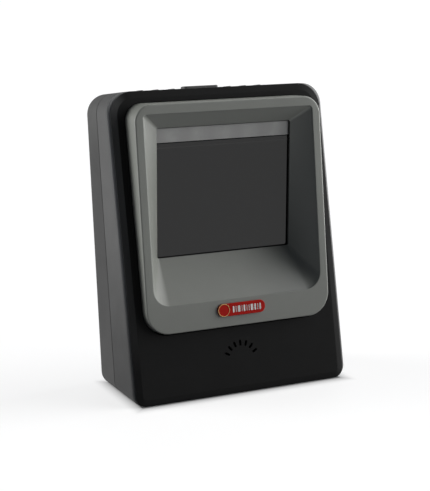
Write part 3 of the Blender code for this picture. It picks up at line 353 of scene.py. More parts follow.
class Nodes:
    """A short way to wire up one material's nodes round its Principled shader."""

    def __init__(self, name, colour, roughness, metallic=0.0):
        self.material = bpy.data.materials.new(f"look_{name}")
        self.material.use_nodes = True
        self.tree = self.material.node_tree
        self.shader = self.tree.nodes["Principled BSDF"]
        self.colour = colour
        self.roughness = roughness
        self.set(Metallic=metallic)
        around = self.add("ShaderNodeTexCoord").outputs
        self.place = around["Object"]
        self.facing = around["Normal"]

    def set(self, **values):
        for name, value in values.items():
            self.shader.inputs[name.replace("_", " ")].default_value = value

    def add(self, kind, **inputs):
        made = self.tree.nodes.new(kind)
        for name, value in inputs.items():
            socket = made.inputs[name.replace("_", " ")]
            if isinstance(value, bpy.types.NodeSocket):
                self.tree.links.new(value, socket)
            else:
                socket.default_value = value
        return made

    def math(self, operation, *values, clamp=False):
        made = self.tree.nodes.new("ShaderNodeMath")
        made.operation = operation
        made.use_clamp = clamp
        for socket, value in zip(made.inputs, values):
            if isinstance(value, bpy.types.NodeSocket):
                self.tree.links.new(value, socket)
            else:
                socket.default_value = value
        return made.outputs[0]

    def stretched(self, scale):
        """Object coordinates, scaled by an amount for each axis."""
        mapping = self.add("ShaderNodeMapping", Vector=self.place)
        mapping.inputs["Scale"].default_value = scale
        return mapping.outputs["Vector"]

    def along(self, axis):
        """The object coordinate on one axis."""
        return self.add("ShaderNodeSeparateXYZ", Vector=self.place).outputs[axis]

    def faced(self, axis):
        """How far the surface faces along one axis of the object, from -1 to 1."""
        return self.add("ShaderNodeSeparateXYZ", Vector=self.facing).outputs[axis]

    def noise(self, size, detail=2.0, rough=0.5, vector=None):
        """Noise whose features are about as wide as size, in metres."""
        made = self.add("ShaderNodeTexNoise", Scale=1 / size, Detail=detail, Roughness=rough)
        self.tree.links.new(vector or self.place, made.inputs["Vector"])
        return made.outputs["Fac"]

    def range(self, value, low, high, new_low=0.0, new_high=1.0, smooth=False):
        made = self.add("ShaderNodeMapRange")
        if smooth:
            made.interpolation_type = "SMOOTHSTEP"
        self.tree.links.new(value, made.inputs["Value"])
        limits = {"From Min": low, "From Max": high, "To Min": new_low, "To Max": new_high}
        for socket, number in limits.items():
            made.inputs[socket].default_value = number
        return made.outputs["Result"]

    def mix(self, factor, first, second):
        """One colour into another; either may be a socket."""
        made = self.tree.nodes.new("ShaderNodeMix")
        made.data_type = "RGBA"
        self.tree.links.new(factor, made.inputs["Factor"])
        for socket, colour in zip((made.inputs[6], made.inputs[7]), (first, second)):
            if isinstance(colour, bpy.types.NodeSocket):
                self.tree.links.new(colour, socket)
            else:
                socket.default_value = (*colour, 1)
        return made.outputs[2]

    def shades(self, factor, spread):
        """The material's colour, from darker to lighter by spread either way."""
        dark = tuple(channel * (1 - spread) for channel in self.colour)
        light = tuple(channel * (1 + spread) for channel in self.colour)
        return self.mix(factor, dark, light)

    def paint(self, colour):
        self.tree.links.new(colour, self.shader.inputs["Base Color"])

    def gloss(self, factor, spread):
        """Roughness that wanders either side of the material's own."""
        rough = self.range(factor, 0.3, 0.7, self.roughness - spread, self.roughness + spread)
        self.tree.links.new(rough, self.shader.inputs["Roughness"])

    def emboss(self, height, depth):
        bump = self.add("ShaderNodeBump", Height=height, Distance=depth, Strength=1.0)
        self.tree.links.new(bump.outputs["Normal"], self.shader.inputs["Normal"])


def grained(name, colour, roughness, grain=0.35 * MM, depth=0.006 * MM):
    """Moulded plastic before it is painted: a fine spark-eroded grain and uneven gloss."""
    look = Nodes(name, colour, roughness)
    look.gloss(look.noise(GLOSS_PATCH, 3.0), 0.04)
    look.emboss(look.noise(grain, 3.0, 0.6), depth)
    return look


def moulded(name, colour, roughness, mottle, **texture):
    """Moulded plastic of one colour, with faint flow mottling."""
    look = grained(name, colour, roughness, **texture)
    look.paint(look.shades(look.noise(MOTTLE, 3.0), mottle))
    return look.material


def case_grey():
    """Textured grey, with painted light that makes it a shade lighter near the top."""
    look = grained("case_grey", (0.059, 0.0586, 0.0580), 0.55)
    look.set(Specular_IOR_Level=0.07)
    even = look.shades(look.noise(MOTTLE, 3.0), 0.03)
    # Painted light: a shade lighter over the top of the case.
    painted_top_light = look.range(look.along("Z"), 108 * MM, 148 * MM, smooth=True)
    look.paint(look.mix(painted_top_light, even, (0.1020, 0.1015, 0.0995)))
    return look.material


def housing_grey():
    """Painted light and shade: lighter than the rear cover towards the top, darker towards the
    bottom, and a painted highlight on the front rim where its edge rolls, strongest near the top.
    """
    look = grained("housing_grey", (0.040, 0.0400, 0.0397), 0.50, depth=0.005 * MM)
    look.set(Specular_IOR_Level=0.07)
    # Painted shade: the sides grow darker towards the bottom; the noise adds a random mottle.
    rise = look.range(look.along("Z"), 5 * MM, 105 * MM, smooth=True)
    mottle = look.range(look.noise(MOTTLE, 3.0), 0.3, 0.7, -0.04, 0.04)
    uneven = look.math("ADD", rise, mottle, clamp=True)
    side = look.mix(uneven, look.colour, (0.103, 0.1028, 0.1015))
    # Painted highlight on the rim's forward-facing surfaces, weaker where they face up, lighter
    # towards the top.
    painted_rim_highlight = look.range(look.faced("Y"), -0.15, -0.80, smooth=True)
    upward = look.range(look.faced("Z"), 0.60, 0.97, 1.0, 0.4)
    edge = look.mix(rise, (0.110, 0.1100, 0.1090), (0.260, 0.2590, 0.2570))
    look.paint(look.mix(look.math("MULTIPLY", painted_rim_highlight, upward), side, edge))
    return look.material


def panel_black():
    """Satin black with painted light: a little lighter towards the top and on the left side of its
    edge.
    """
    look = grained("panel_black", (0.0060, 0.0060, 0.0060), 0.55, depth=0.004 * MM)
    look.set(Specular_IOR_Level=0.07)
    height = look.along("Z")
    # Painted light: the face grows a little lighter towards the top.
    painted_top_light = look.range(height, 40 * MM, 150 * MM)
    face = look.mix(painted_top_light, look.colour, (0.0110, 0.0110, 0.0110))
    mottled = look.mix(look.noise(MOTTLE, 3.0), face, (0.0085, 0.0085, 0.0085))
    # Painted light: the sloping edge is lighter where it faces left, more so higher up.
    leftward = look.range(look.faced("X"), -0.05, -0.19, smooth=True)
    edge = look.math("MULTIPLY", leftward, look.range(height, 15 * MM, 95 * MM))
    look.paint(look.mix(edge, mottled, (0.0700, 0.0700, 0.0690)))
    return look.material


def bezel_grey():
    """Pale grey with painted light and shade: painted shade low down, on the funnel's right wall
    and the right end of its sill, and painted light on the top right of its face."""
    look = grained("bezel_grey", (0.152, 0.157, 0.142), 0.45, grain=0.30 * MM, depth=0.004 * MM)
    across, height = look.along("X"), look.along("Z")
    mottle = look.range(look.noise(MOTTLE, 3.0), 0.3, 0.7, -0.1, 0.1)
    # Painted shade: darker low down, with a random mottle.
    rise = look.range(height, 15 * MM, 75 * MM, smooth=True)
    face = look.mix(look.math("ADD", rise, mottle), look.colour, (0.181, 0.188, 0.169))

    # Painted light on the top right of the face and its right edge.
    right_rim = look.range(across, 45 * MM, 47 * MM)
    painted_light_top_right = look.math("MULTIPLY", right_rim, look.range(height, 60 * MM, 120 * MM))
    face = look.mix(painted_light_top_right, face, (0.225, 0.233, 0.210))

    # Painted shade on the right end of the funnel's sill.
    upward = look.range(look.faced("Z"), 0.4, 0.8)
    sill = look.math("MULTIPLY", upward, look.range(height, 90 * MM, 60 * MM))
    painted_sill_shade = look.math("MULTIPLY", sill, look.range(across, 5 * MM, 42 * MM))
    face = look.mix(painted_sill_shade, face, (0.100, 0.106, 0.101))

    # Painted shade on the funnel's right wall.
    leftward = look.range(look.faced("X"), -0.3, -0.8)
    painted_right_wall_shade = look.math("MULTIPLY", leftward, look.range(across, 0.0, 10 * MM))
    look.paint(look.mix(painted_right_wall_shade, face, (0.118, 0.127, 0.121)))
    return look.material


def smoked_pane():
    """Polished smoked acrylic. A ledge behind it shows as a faint band under the light bar."""
    look = Nodes("smoked_pane", (0.0050, 0.0050, 0.0050), 0.10)
    look.set(Specular_IOR_Level=0.40)
    height = look.along("Z")
    ledge = PANE_HIGH - 2.4 * MM
    above = look.range(height, ledge - 0.5 * MM, ledge, smooth=True)
    below = look.range(height, ledge + 0.2 * MM, ledge + 0.8 * MM, 1.0, 0.0, smooth=True)
    band = look.math("MULTIPLY", look.math("MULTIPLY", above, below), 0.6)
    shade = look.shades(look.noise(12 * MM, 2.0), 0.25)
    look.paint(look.mix(band, shade, (0.024, 0.024, 0.023)))
    look.gloss(look.noise(20 * MM, 2.0), 0.02)
    look.emboss(look.noise(30 * MM, 1.0), 0.01 * MM)
    return look.material


def diffuser_white():
    """Frosted bar, with a painted glow: a little lighter in front of each LED."""
    look = Nodes("diffuser_white", (0.345, 0.343, 0.332), 0.35)
    # Painted glow of the LEDs: lighter spots at their spacing, broken up by noise.
    waves = look.math("COSINE", look.math("MULTIPLY", look.along("X"), 2 * pi / LED_SPACING))
    spots = look.range(waves, -1.0, 1.0)
    painted_led_glow = look.math("MULTIPLY", spots, look.range(look.noise(5 * MM, 2.0), 0.2, 0.8))
    look.paint(look.shades(painted_led_glow, 0.12))
    look.gloss(look.noise(4 * MM), 0.05)
    look.emboss(look.noise(0.4 * MM, 3.0), 0.010 * MM)
    return look.material


def black_rubber():
    colour = (0.012, 0.012, 0.012)
    return moulded("black_rubber", colour, 0.78, 0.15, grain=0.5 * MM, depth=0.02 * MM)


def black_plastic():
    return moulded("black_plastic", (0.018, 0.018, 0.018), 0.52, 0.08)


def circuit_green():
    """Solder mask over copper tracks, which stand a little proud and show lighter."""
    look = Nodes("circuit_green", (0.010, 0.085, 0.035), 0.40)
    tracks = look.add("ShaderNodeTexBrick", Vector=look.place, Scale=1 / (4 * MM))
    tracks.inputs["Mortar Size"].default_value = 0.05
    tracks.inputs["Mortar Smooth"].default_value = 0.2
    broken = look.range(look.noise(3 * MM, 1.0), 0.45, 0.55)
    lines = look.math("MULTIPLY", tracks.outputs["Fac"], broken)
    look.paint(look.mix(lines, look.shades(look.noise(8 * MM), 0.15), (0.035, 0.19, 0.075)))
    look.gloss(look.noise(2 * MM), 0.06)
    look.emboss(lines, 0.03 * MM)
    return look.material


def chip_black():
    colour = (0.016, 0.016, 0.017)
    return moulded("chip_black", colour, 0.50, 0.12, grain=0.2 * MM, depth=0.008 * MM)


def metal(name, colour, roughness, brushed):
    """Plated steel with fine scratches, drawn out along X by the factor brushed."""
    look = Nodes(name, colour, roughness, metallic=1.0)
    drawn = look.noise(0.5 * MM, 3.0, vector=look.stretched((1 / brushed, 1, 1)))
    look.paint(look.shades(look.noise(6 * MM, 2.0), 0.10))
    look.gloss(drawn, 0.10)
    look.emboss(drawn, 0.004 * MM)
    return look.material


def tinned_steel():
    return metal("tinned_steel", (0.64, 0.63, 0.60), 0.30, 8)


def zinc_steel():
    return metal("zinc_steel", (0.56, 0.57, 0.60), 0.36, 3)


def lens_glass():
    """Coated glass, seen as a dark bluish surface with a hard gloss."""
    look = Nodes("lens_glass", (0.030, 0.045, 0.090), 0.04)
    look.set(Coat_Weight=1.0, Coat_Roughness=0.02)
    look.paint(look.shades(look.noise(2 * MM), 0.30))
    look.gloss(look.noise(3 * MM), 0.01)
    return look.material


def led_yellow():
    look = Nodes("led_yellow", (0.74, 0.62, 0.22), 0.30)
    look.paint(look.mix(look.noise(0.9 * MM, 2.0), (0.80, 0.70, 0.30), (0.66, 0.50, 0.14)))
    look.gloss(look.noise(1 * MM), 0.06)
    look.emboss(look.noise(0.3 * MM), 0.01 * MM)
    return look.material


def paper_cone():
    look = Nodes("paper_cone", (0.035, 0.032, 0.030), 0.88)
    fibres = look.noise(0.5 * MM, 5.0, 0.7)
    look.paint(look.shades(fibres, 0.45))
    look.gloss(fibres, 0.05)
    look.emboss(fibres, 0.05 * MM)
    return look.material


def foam_grey():
    look = Nodes("foam_grey", (0.060, 0.060, 0.062), 0.93)
    voronoi = look.add("ShaderNodeTexVoronoi", Vector=look.place, Scale=1 / (0.5 * MM))
    cells = voronoi.outputs["Distance"]
    look.paint(look.shades(cells, 0.50))
    look.gloss(cells, 0.04)
    look.emboss(cells, 0.10 * MM)
    return look.material


def cable_white():
    """Flat cable and its sockets: fine ribs where the conductors run."""
    look = Nodes("cable_white", (0.62, 0.62, 0.60), 0.48)
    ribs = look.add("ShaderNodeTexWave", Vector=look.place, Scale=1 / (6.4 * MM)).outputs["Fac"]
    look.paint(look.shades(ribs, 0.12))
    look.gloss(look.noise(2 * MM), 0.05)
    look.emboss(ribs, 0.04 * MM)
    return look.material


def cable_jacket():
    colour = (0.013, 0.013, 0.013)
    return moulded("cable_jacket", colour, 0.50, 0.10, grain=0.4 * MM, depth=0.01 * MM)


def badge_red():
    look = Nodes("badge_red", (0.38, 0.004, 0.001), 0.45)
    look.set(Specular_IOR_Level=0.10)
    look.paint(look.shades(look.noise(3 * MM, 2.0), 0.05))
    look.gloss(look.noise(2 * MM), 0.03)
    look.emboss(look.noise(1.5 * MM), 0.01 * MM)
    return look.material


LOOKS = (
    case_grey,
    housing_grey,
    panel_black,
    bezel_grey,
    smoked_pane,
    diffuser_white,
    black_rubber,
    black_plastic,
    circuit_green,
    chip_black,
    tinned_steel,
    zinc_steel,
    lens_glass,
    led_yellow,
    paper_cone,
    foam_grey,
    cable_white,
    cable_jacket,
    badge_red,
)
FINISHES = {make.__name__: make() for make in LOOKS}


def finish(slot):
    return FINISHES[slot]


def finish_cad_nodes():
    """Each CAD node's own material is named after its slot."""
    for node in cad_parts.values():
        for material_slot in node.material_slots:
            material_slot.material = finish(material_slot.material.name)


# ---------------------------------------------------------------- case


def case_outline(plane):
    """The case's section on a leaning plane, whose top edge follows the falling top."""
    base, lean = plane
    front_top = FRONT[0] + FRONT[1] * CASE_HEIGHT
    high = (CASE_HEIGHT - TOP_FALL * (base - front_top)) / (1 + TOP_FALL * lean)
    return (CASE_HALF_WIDTH, UNDERSIDE, high, CASE_LOW_RADIUS, CASE_TOP_RADIUS)


def case_ring(plane, depth=0.0, inset=0.0):
    base, lean = plane
    return ring(case_outline((base + depth, lean)), plane, depth, inset)


def bezel_outline():
    return (BEZEL_HALF_WIDTH, BEZEL_LOW, BEZEL_HIGH, BEZEL_LOW_RADIUS, BEZEL_TOP_RADIUS)


def bezel_foot():
    """The bezel's outline where it passes through the panel, a little lower than its face."""
    half_width, low, high, low_radius, high_radius = bezel_outline()
    return (half_width, low - BEZEL_FOOT_DROP, high - BEZEL_FOOT_DROP, low_radius, high_radius)


def panel_ring(depth, inset=0.0):
    """The panel's outline at a depth behind its face."""
    outline = (PANEL_HALF_WIDTH, UNDERSIDE, CASE_HEIGHT, PANEL_LOW_RADIUS, PANEL_TOP_RADIUS)
    return ring(outline, FRONT, depth, inset)


def make_panel():
    """The black front with its sloping edge, the bezel's opening and a lip behind."""
    lip_end = PANEL_SKIRT + PANEL_LIP
    lip_inner = PANEL_LIP_INSET + PANEL_LIP_WALL
    rings = [panel_ring(depth, PANEL_LIP_INSET) for depth in (lip_end, PANEL_SKIRT)]
    skirt = reversed(quarter(PANEL_SKIRT_ROUND, 2))
    rings += [panel_ring(PANEL_SKIRT - depth, inset) for inset, depth in skirt]
    rings += [panel_ring(depth, inset) for inset, depth in PANEL_EDGE]
    opening = reversed(quarter(SOFT_EDGE, 3))
    rings += [ring(bezel_foot(), FRONT, depth, -GAP - inset) for inset, depth in opening]
    rings += [ring(bezel_foot(), FRONT, PANEL_THICKNESS, -GAP)]
    rings += [panel_ring(depth, lip_inner) for depth in (PANEL_THICKNESS, lip_end)]
    piece("panel_shell", carved(skin(rings), sound_slots()), "panel_black", "front_panel")


def sound_slots():
    """Cutters for the slots that fan out above the loudspeaker, flared at the surface."""
    outline = (SLOT_WIDTH / 2, -SLOT_LENGTH / 2, SLOT_LENGTH / 2, SLOT_CORNER, SLOT_CORNER)
    rings = [
        ring(outline, (0.0, FRONT[1]), -SLOT_CUTTER_REACH, -0.9 * MM),
        ring(outline, (0.0, FRONT[1]), -0.4 * MM, -SLOT_FLARE - 0.4 * MM),
        ring(outline, (0.0, FRONT[1]), SLOT_FLARE),
        ring(outline, (0.0, FRONT[1]), SLOT_CUTTER_REACH),
    ]
    centre = Matrix.Translation((0, FRONT[0] + FRONT[1] * SLOT_ARC_HEIGHT, SLOT_ARC_HEIGHT))
    outward = Matrix.Translation((0, 0, SLOT_ARC_RADIUS))
    cutters = []
    for i in range(SLOT_COUNT):
        turn = Matrix.Rotation(radians(SLOT_STEP * (i - (SLOT_COUNT - 1) / 2)), 4, "Y")
        cutters.append(moved(skin(rings, capped=True), centre @ turn @ outward))
    return together(*cutters)


def make_bezel():
    """The grey surround: its outer wall, face, and funnel down to the window."""
    sides = 10  # steps along each straight side
    outline = bezel_outline()

    def foot(inset):
        return ring(bezel_foot(), FRONT, BEZEL_SETTING, inset, sides)

    rings = [foot(0)]
    outer_edge = quarter(BEZEL_EDGE_RADIUS, 8)
    rings += [ring(outline, FACE, depth, inset, sides) for inset, depth in outer_edge]
    mouth_edge = reversed(quarter(MOUTH_EDGE_RADIUS, 4))
    rings += [ring(MOUTH, FACE, depth, -inset, sides) for inset, depth in mouth_edge]
    end = ring(WINDOW, WINDOW_PLANE, 0, 0, sides)
    outer_end = ring(WINDOW, WINDOW_PLANE, 0, -BEZEL_WALL, sides)
    outer_mouth = ring(MOUTH, FACE, BEZEL_THICKNESS, -BEZEL_WALL, sides)
    rings += [*between(rings[-1], end, 8), end]
    rings += [outer_end, *between(outer_end, outer_mouth, 4), outer_mouth]
    rings += [ring(outline, FACE, BEZEL_THICKNESS, BEZEL_WALL, sides), foot(BEZEL_WALL)]
    piece("bezel_shell", skin(rings), "bezel_grey", "window_bezel")


def case_screw_places():
    return [(side * CASE_SCREW_X, z) for side in (-1, 1) for z in CASE_SCREW_HEIGHTS]


def boss_tip(z):
    """Depth where the rear cover's screw boss at height z ends, inside the case."""
    return REAR[0] + REAR[1] * z - CASE_SCREW_DEPTH


def make_housing():
    """The band between the black panel and the rear cover, with the posts for the screws."""
    front = PANEL_SKIRT + GAP
    lip_inset = PANEL_LIP_INSET - GAP
    tongue = LAP_SKIN + GAP
    seam = -GAP / 2
    rings = [panel_ring(front, lip_inset)]
    for inset, depth in reversed(quarter(RIM_ROLL, 8)):
        side, rim = case_ring(FRONT, front + depth), panel_ring(front + depth)
        rings.append([point.lerp(inner, inset / RIM_ROLL) for point, inner in zip(side, rim)])
    rings += [case_ring(SEAM, seam - depth, inset) for inset, depth in quarter(SOFT_EDGE, 3)]
    rings += [case_ring(SEAM, seam, tongue), case_ring(SEAM, LAP, tongue)]
    rings += [case_ring(SEAM, LAP, WALL), case_ring(FRONT, front + FLANGE_DEPTH, WALL)]
    rings += [panel_ring(front + FLANGE_DEPTH, lip_inset)]
    housing = carved(skin(rings), together(*post_webs()), "UNION")
    housing = carved(housing, together(*screw_posts()), "UNION")
    housing = carved(housing, together(*foot_pockets("foot_1", "foot_2")))
    piece("housing_shell", housing, "housing_grey", "middle_housing")


def post_start(z):
    """Depth where the housing's screw post at height z begins."""
    return SEAM[0] + SEAM[1] * z + POST_START


def screw_posts():
    """Posts from in front of the seam back to the rear cover's bosses, bored for the screws."""
    posts = []
    for x, z in case_screw_places():
        reach = boss_tip(z) - GAP - post_start(z)
        profile = [(0, 0), (POST_RADIUS, 0), (POST_RADIUS, reach), (CASE_BORE, reach)]
        profile += [(CASE_BORE, reach - POST_BORE_DEPTH), (0, reach - POST_BORE_DEPTH)]
        posts.append(turned(profile, (x, post_start(z), z)))
    return posts


def post_webs():
    """Webs that tie the posts to the housing's side walls."""
    webs = []
    outer = CASE_HALF_WIDTH - WALL / 2
    for x, z in case_screw_places():
        half_width = (outer - abs(x)) / 2
        outline = (half_width, z - WEB_HALF_HEIGHT, z + WEB_HALF_HEIGHT, LEAST_RADIUS, LEAST_RADIUS)
        web = plate(outline, post_start(z), post_start(z) + WEB_DEPTH, 0.2 * MM)
        middle = (outer + abs(x)) / 2 * (1 if x > 0 else -1)
        webs.append(moved(web, Matrix.Translation((middle, 0, 0))))
    return webs


def make_cover():
    """The rear cover, with its screw wells, ribs, key hole, jack opening and foot pockets."""
    seam = GAP / 2
    inner_edge = reversed(quarter(REAR_EDGE_RADIUS - WALL))
    rings = [case_ring(REAR, -WALL - depth, WALL + inset) for inset, depth in inner_edge]
    rings += [case_ring(SEAM, LAP + GAP, WALL), case_ring(SEAM, LAP + GAP, LAP_SKIN)]
    rings += [case_ring(SEAM, seam, LAP_SKIN)]
    seam_edge = reversed(quarter(SOFT_EDGE, 3))
    rings += [case_ring(SEAM, seam + depth, inset) for inset, depth in seam_edge]
    rings += [case_ring(REAR, -depth, inset) for inset, depth in quarter(REAR_EDGE_RADIUS, 12)]
    cover = skin(rings, capped=True)
    cover = carved(cover, together(*top_ribs()), "UNION")
    bosses = together(*case_bosses(), *board_bosses(), *key_board_bosses())
    cover = carved(cover, bosses, "UNION")
    pockets = foot_pockets("foot_3", "foot_4")
    cover = carved(cover, together(*case_wells(), key_hole(), jack_opening(), *pockets))
    piece("cover_shell", cover, "case_grey", "rear_cover")


def pillow(half_x, half_y, low, high, corner, edge):
    """A block with rounded corners in plan and a rounded top edge, about its own middle."""
    outline = (half_x, -half_y, half_y, corner, corner)
    heights = [(0.0, low)] + [(inset, high - depth) for inset, depth in quarter(edge)]
    rings = [[Vector((x, y, z)) for x, y in outline_points(outline, inset)] for inset, z in heights]
    return skin(rings, capped=True)


def top_ribs():
    ribs = []
    for side in (-1, 1):
        for x in RIB_PLACES:
            rib = pillow(*RIB_HALF, -1.0 * MM, RIB_PROUD, 0.9 * MM, 0.45 * MM)
            ribs.append(moved(rib, KEY_FRAME @ Matrix.Translation((side * x, 0, 0))))
    return ribs


def case_bosses():
    return [
        rod(4.6 * MM, (x, boss_tip(z), z), (x, REAR[0] + REAR[1] * z - WALL / 2, z))
        for x, z in case_screw_places()
    ]


def case_wells():
    """Stepped holes for the case screws, each flared where it meets the leaning rear face."""
    wells = []
    for x, z in case_screw_places():
        surface = REAR[0] + REAR[1] * z
        flare = 0.5 * MM
        rim, step = CASE_WELL_RADIUS + 2 * flare, 2 * MM
        profile = [(0, -MM), (CASE_BORE, -MM), (CASE_BORE, step), (CASE_WELL_RADIUS, step)]
        profile += [(CASE_WELL_RADIUS, CASE_SCREW_DEPTH - flare), (rim, CASE_SCREW_DEPTH + flare)]
        profile += [(0, CASE_SCREW_DEPTH + flare)]
        well = turned(profile, (0, -CASE_SCREW_DEPTH, 0))
        wells.append(moved(well, Matrix.Translation((x, surface, z))))
    return wells


def key_hole():
    half_x, half_y = KEY_SIZE[0] / 2 + GAP, KEY_SIZE[1] / 2 + GAP
    outline = (half_x, -half_y, half_y, 1.9 * MM, 1.9 * MM)
    steps = ((0.0, -6 * MM), (0.0, -SOFT_EDGE), (-2 * SOFT_EDGE, SOFT_EDGE))
    rings = [[Vector((x, y, z)) for x, y in outline_points(outline, inset)] for inset, z in steps]
    return moved(skin(rings, capped=True), KEY_FRAME)


def jack_opening():
    half_width = JACK_HIGH.x + GAP
    low, high = JACK_LOW.z - CASE_BOTTOM - GAP, JACK_HIGH.z - CASE_BOTTOM + GAP
    outline = (half_width, low, high, 0.5 * MM, 0.5 * MM)
    flare = 0.35 * MM
    rings = [ring(outline, (BOARD_REAR, 0.0))]
    rings += [ring(outline, REAR, -flare), ring(outline, REAR, flare, -2 * flare)]
    return skin(rings, capped=True)


def board_bosses():
    """Bosses that the main board's screws go into."""
    bosses = []
    for x, z in BOARD_SCREWS:
        end = REAR[0] + REAR[1] * z - WALL / 2 - BOARD_REAR
        bosses.append(turned(bored(2.8 * MM, 1.5 * MM, 8 * MM, end), (x, BOARD_REAR, z)))
    return bosses


def key_board_bosses():
    start = KEY_BOARD_TOP + GAP
    profile = bored(2.2 * MM, 1.2 * MM, 4.7 * MM, -WALL / 2 - start)
    return [
        moved(turned(profile, (x, 0, start), (0, 0, 1)), KEY_FRAME)
        for x in (-KEY_BOARD_SCREW_X, KEY_BOARD_SCREW_X)
    ]


def bored(radius, bore, depth, length):
    """The profile of a boss with a blind hole in its tip."""
    return [(0, depth), (bore, depth), (bore, 0), (radius, 0), (radius, length), (0, length)]


def foot_pockets(*feet):
    pockets = []
    for node in feet:
        low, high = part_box(node)
        middle = (low + high) / 2
        radius = (high.x - low.x) / 2 + GAP
        top = high.z - CASE_BOTTOM + GAP
        pockets.append(rod(radius, (middle.x, middle.y, UNDERSIDE - MM), (middle.x, middle.y, top)))
    return pockets


def make_feet():
    """Rubber discs with a rounded rim and a shallow ring moulded in the sole."""
    for number in range(1, 5):
        low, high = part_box(f"foot_{number}")
        middle = (low + high) / 2
        radius, thickness = (high.x - low.x) / 2, high.z - low.z
        edge = 0.35 * MM
        profile = [(0, 0.15 * MM), (0.45 * radius, 0.15 * MM), (0.5 * radius, 0)]
        profile += [(radius - inset, depth) for inset, depth in reversed(quarter(edge, 4))]
        profile += [(radius, thickness - edge), (radius - edge, thickness), (0, thickness)]
        disc = turned(profile, (middle.x, middle.y, low.z - CASE_BOTTOM), (0, 0, 1))
        piece(f"foot_pad_{number}", disc, "black_rubber", f"foot_{number}")


# ---------------------------------------------------------------- window


def make_window():
    """The gasket, the smoked pane and the light bar above it."""
    front, rear = GAP, GAP + GASKET_DEPTH
    rings = [
        ring(WINDOW, WINDOW_PLANE, front + GASKET_SOFT),
        ring(WINDOW, WINDOW_PLANE, front, -GASKET_SOFT),
        ring(WINDOW, WINDOW_PLANE, front, -GASKET_WIDTH),
        ring(WINDOW, WINDOW_PLANE, rear, -GASKET_WIDTH),
        ring(WINDOW, WINDOW_PLANE, rear),
    ]
    piece("gasket_ring", skin(rings), "black_rubber", "window_gasket")

    outline = (PANE_HALF_WIDTH, PANE_LOW, PANE_HIGH, 1.5 * MM, 0.4 * MM)
    pane = plate(outline, PANE_FRONT, PANE_REAR, 0.15 * MM)
    piece("pane_smoked", pane, "smoked_pane", "window_pane")
    outline = (DIFFUSER_HALF_WIDTH, DIFFUSER_LOW, DIFFUSER_HIGH, 0.4 * MM, 0.8 * MM)
    bar = plate(outline, DIFFUSER_FRONT, PANE_REAR, 0.2 * MM)
    piece("diffuser_bar", bar, "diffuser_white", "light_diffuser")


def plate(outline, front, rear, edge):
    """An upright plate whose front and rear edges are rounded."""
    rounding = quarter(edge, 3)
    rings = [ring(outline, (front, 0.0), depth, inset) for inset, depth in reversed(rounding)]
    rings += [ring(outline, (rear, 0.0), -depth, inset) for inset, depth in rounding]
    return skin(rings, capped=True)


def make_badge():
    """A plain red plate with a fine ring at its left end and a generic row of bars."""
    low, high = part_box("badge_plate")
    middle = Vector((0, (low.y + high.y) / 2, (low.z + high.z) / 2 - CASE_BOTTOM))
    half_height = (high.z - low.z) / 2
    spot = Matrix.Translation(middle) @ Matrix.Rotation(-atan(FACE[1]), 4, "X")
    outline = (high.x, -half_height, half_height, BADGE_CORNER, BADGE_CORNER)
    tile = moved(plate(outline, BADGE_FRONT, 0.55 * MM, 0.2 * MM), spot)
    piece("badge_tile", tile, "badge_red", "badge_plate")
    bars = []
    x = BARS_X - sum(width + BAR_GAP for width in BAR_WIDTHS) / 2
    for width in BAR_WIDTHS:
        x += BAR_GAP / 2
        bar = pillow(width / 2, 1.6 * MM, -0.1 * MM, 0.08 * MM, 0.15 * MM, 0.05 * MM)
        place = Matrix.Translation((x + width / 2, BADGE_FRONT, 0))
        bars.append(moved(bar, place @ Matrix.Rotation(pi / 2, 4, "X")))
        x += width + BAR_GAP / 2
    piece("badge_bars", moved(together(*bars), spot), "cable_white")
    band = [(2.95 * MM, 0), (3.0 * MM, 0.08 * MM), (3.15 * MM, 0.08 * MM), (3.2 * MM, 0)]
    circle = turned(band, (low.x + RING_X, BADGE_FRONT, 0), (0, -1, 0), ring_shaped=True)
    piece("badge_ring", moved(circle, spot), "led_yellow")


# ---------------------------------------------------------------- key and jack


def make_key():
    """The key's cap, with the flange that keeps it inside the cover."""
    half_x, half_y = KEY_SIZE[0] / 2, KEY_SIZE[1] / 2
    flange_half = (half_x + 1.4 * MM, half_y + 0.9 * MM)
    flange_top = -WALL - GAP
    flange_low = flange_top - KEY_FLANGE
    cap = pillow(half_x, half_y, flange_low, KEY_PROUD, KEY_CORNER, 0.6 * MM)
    flange = pillow(*flange_half, flange_low, flange_top, KEY_CORNER, 0.2 * MM)
    key = moved(carved(cap, flange, "UNION"), KEY_FRAME)
    piece("key_cap", key, "case_grey", "top_key", body="key")


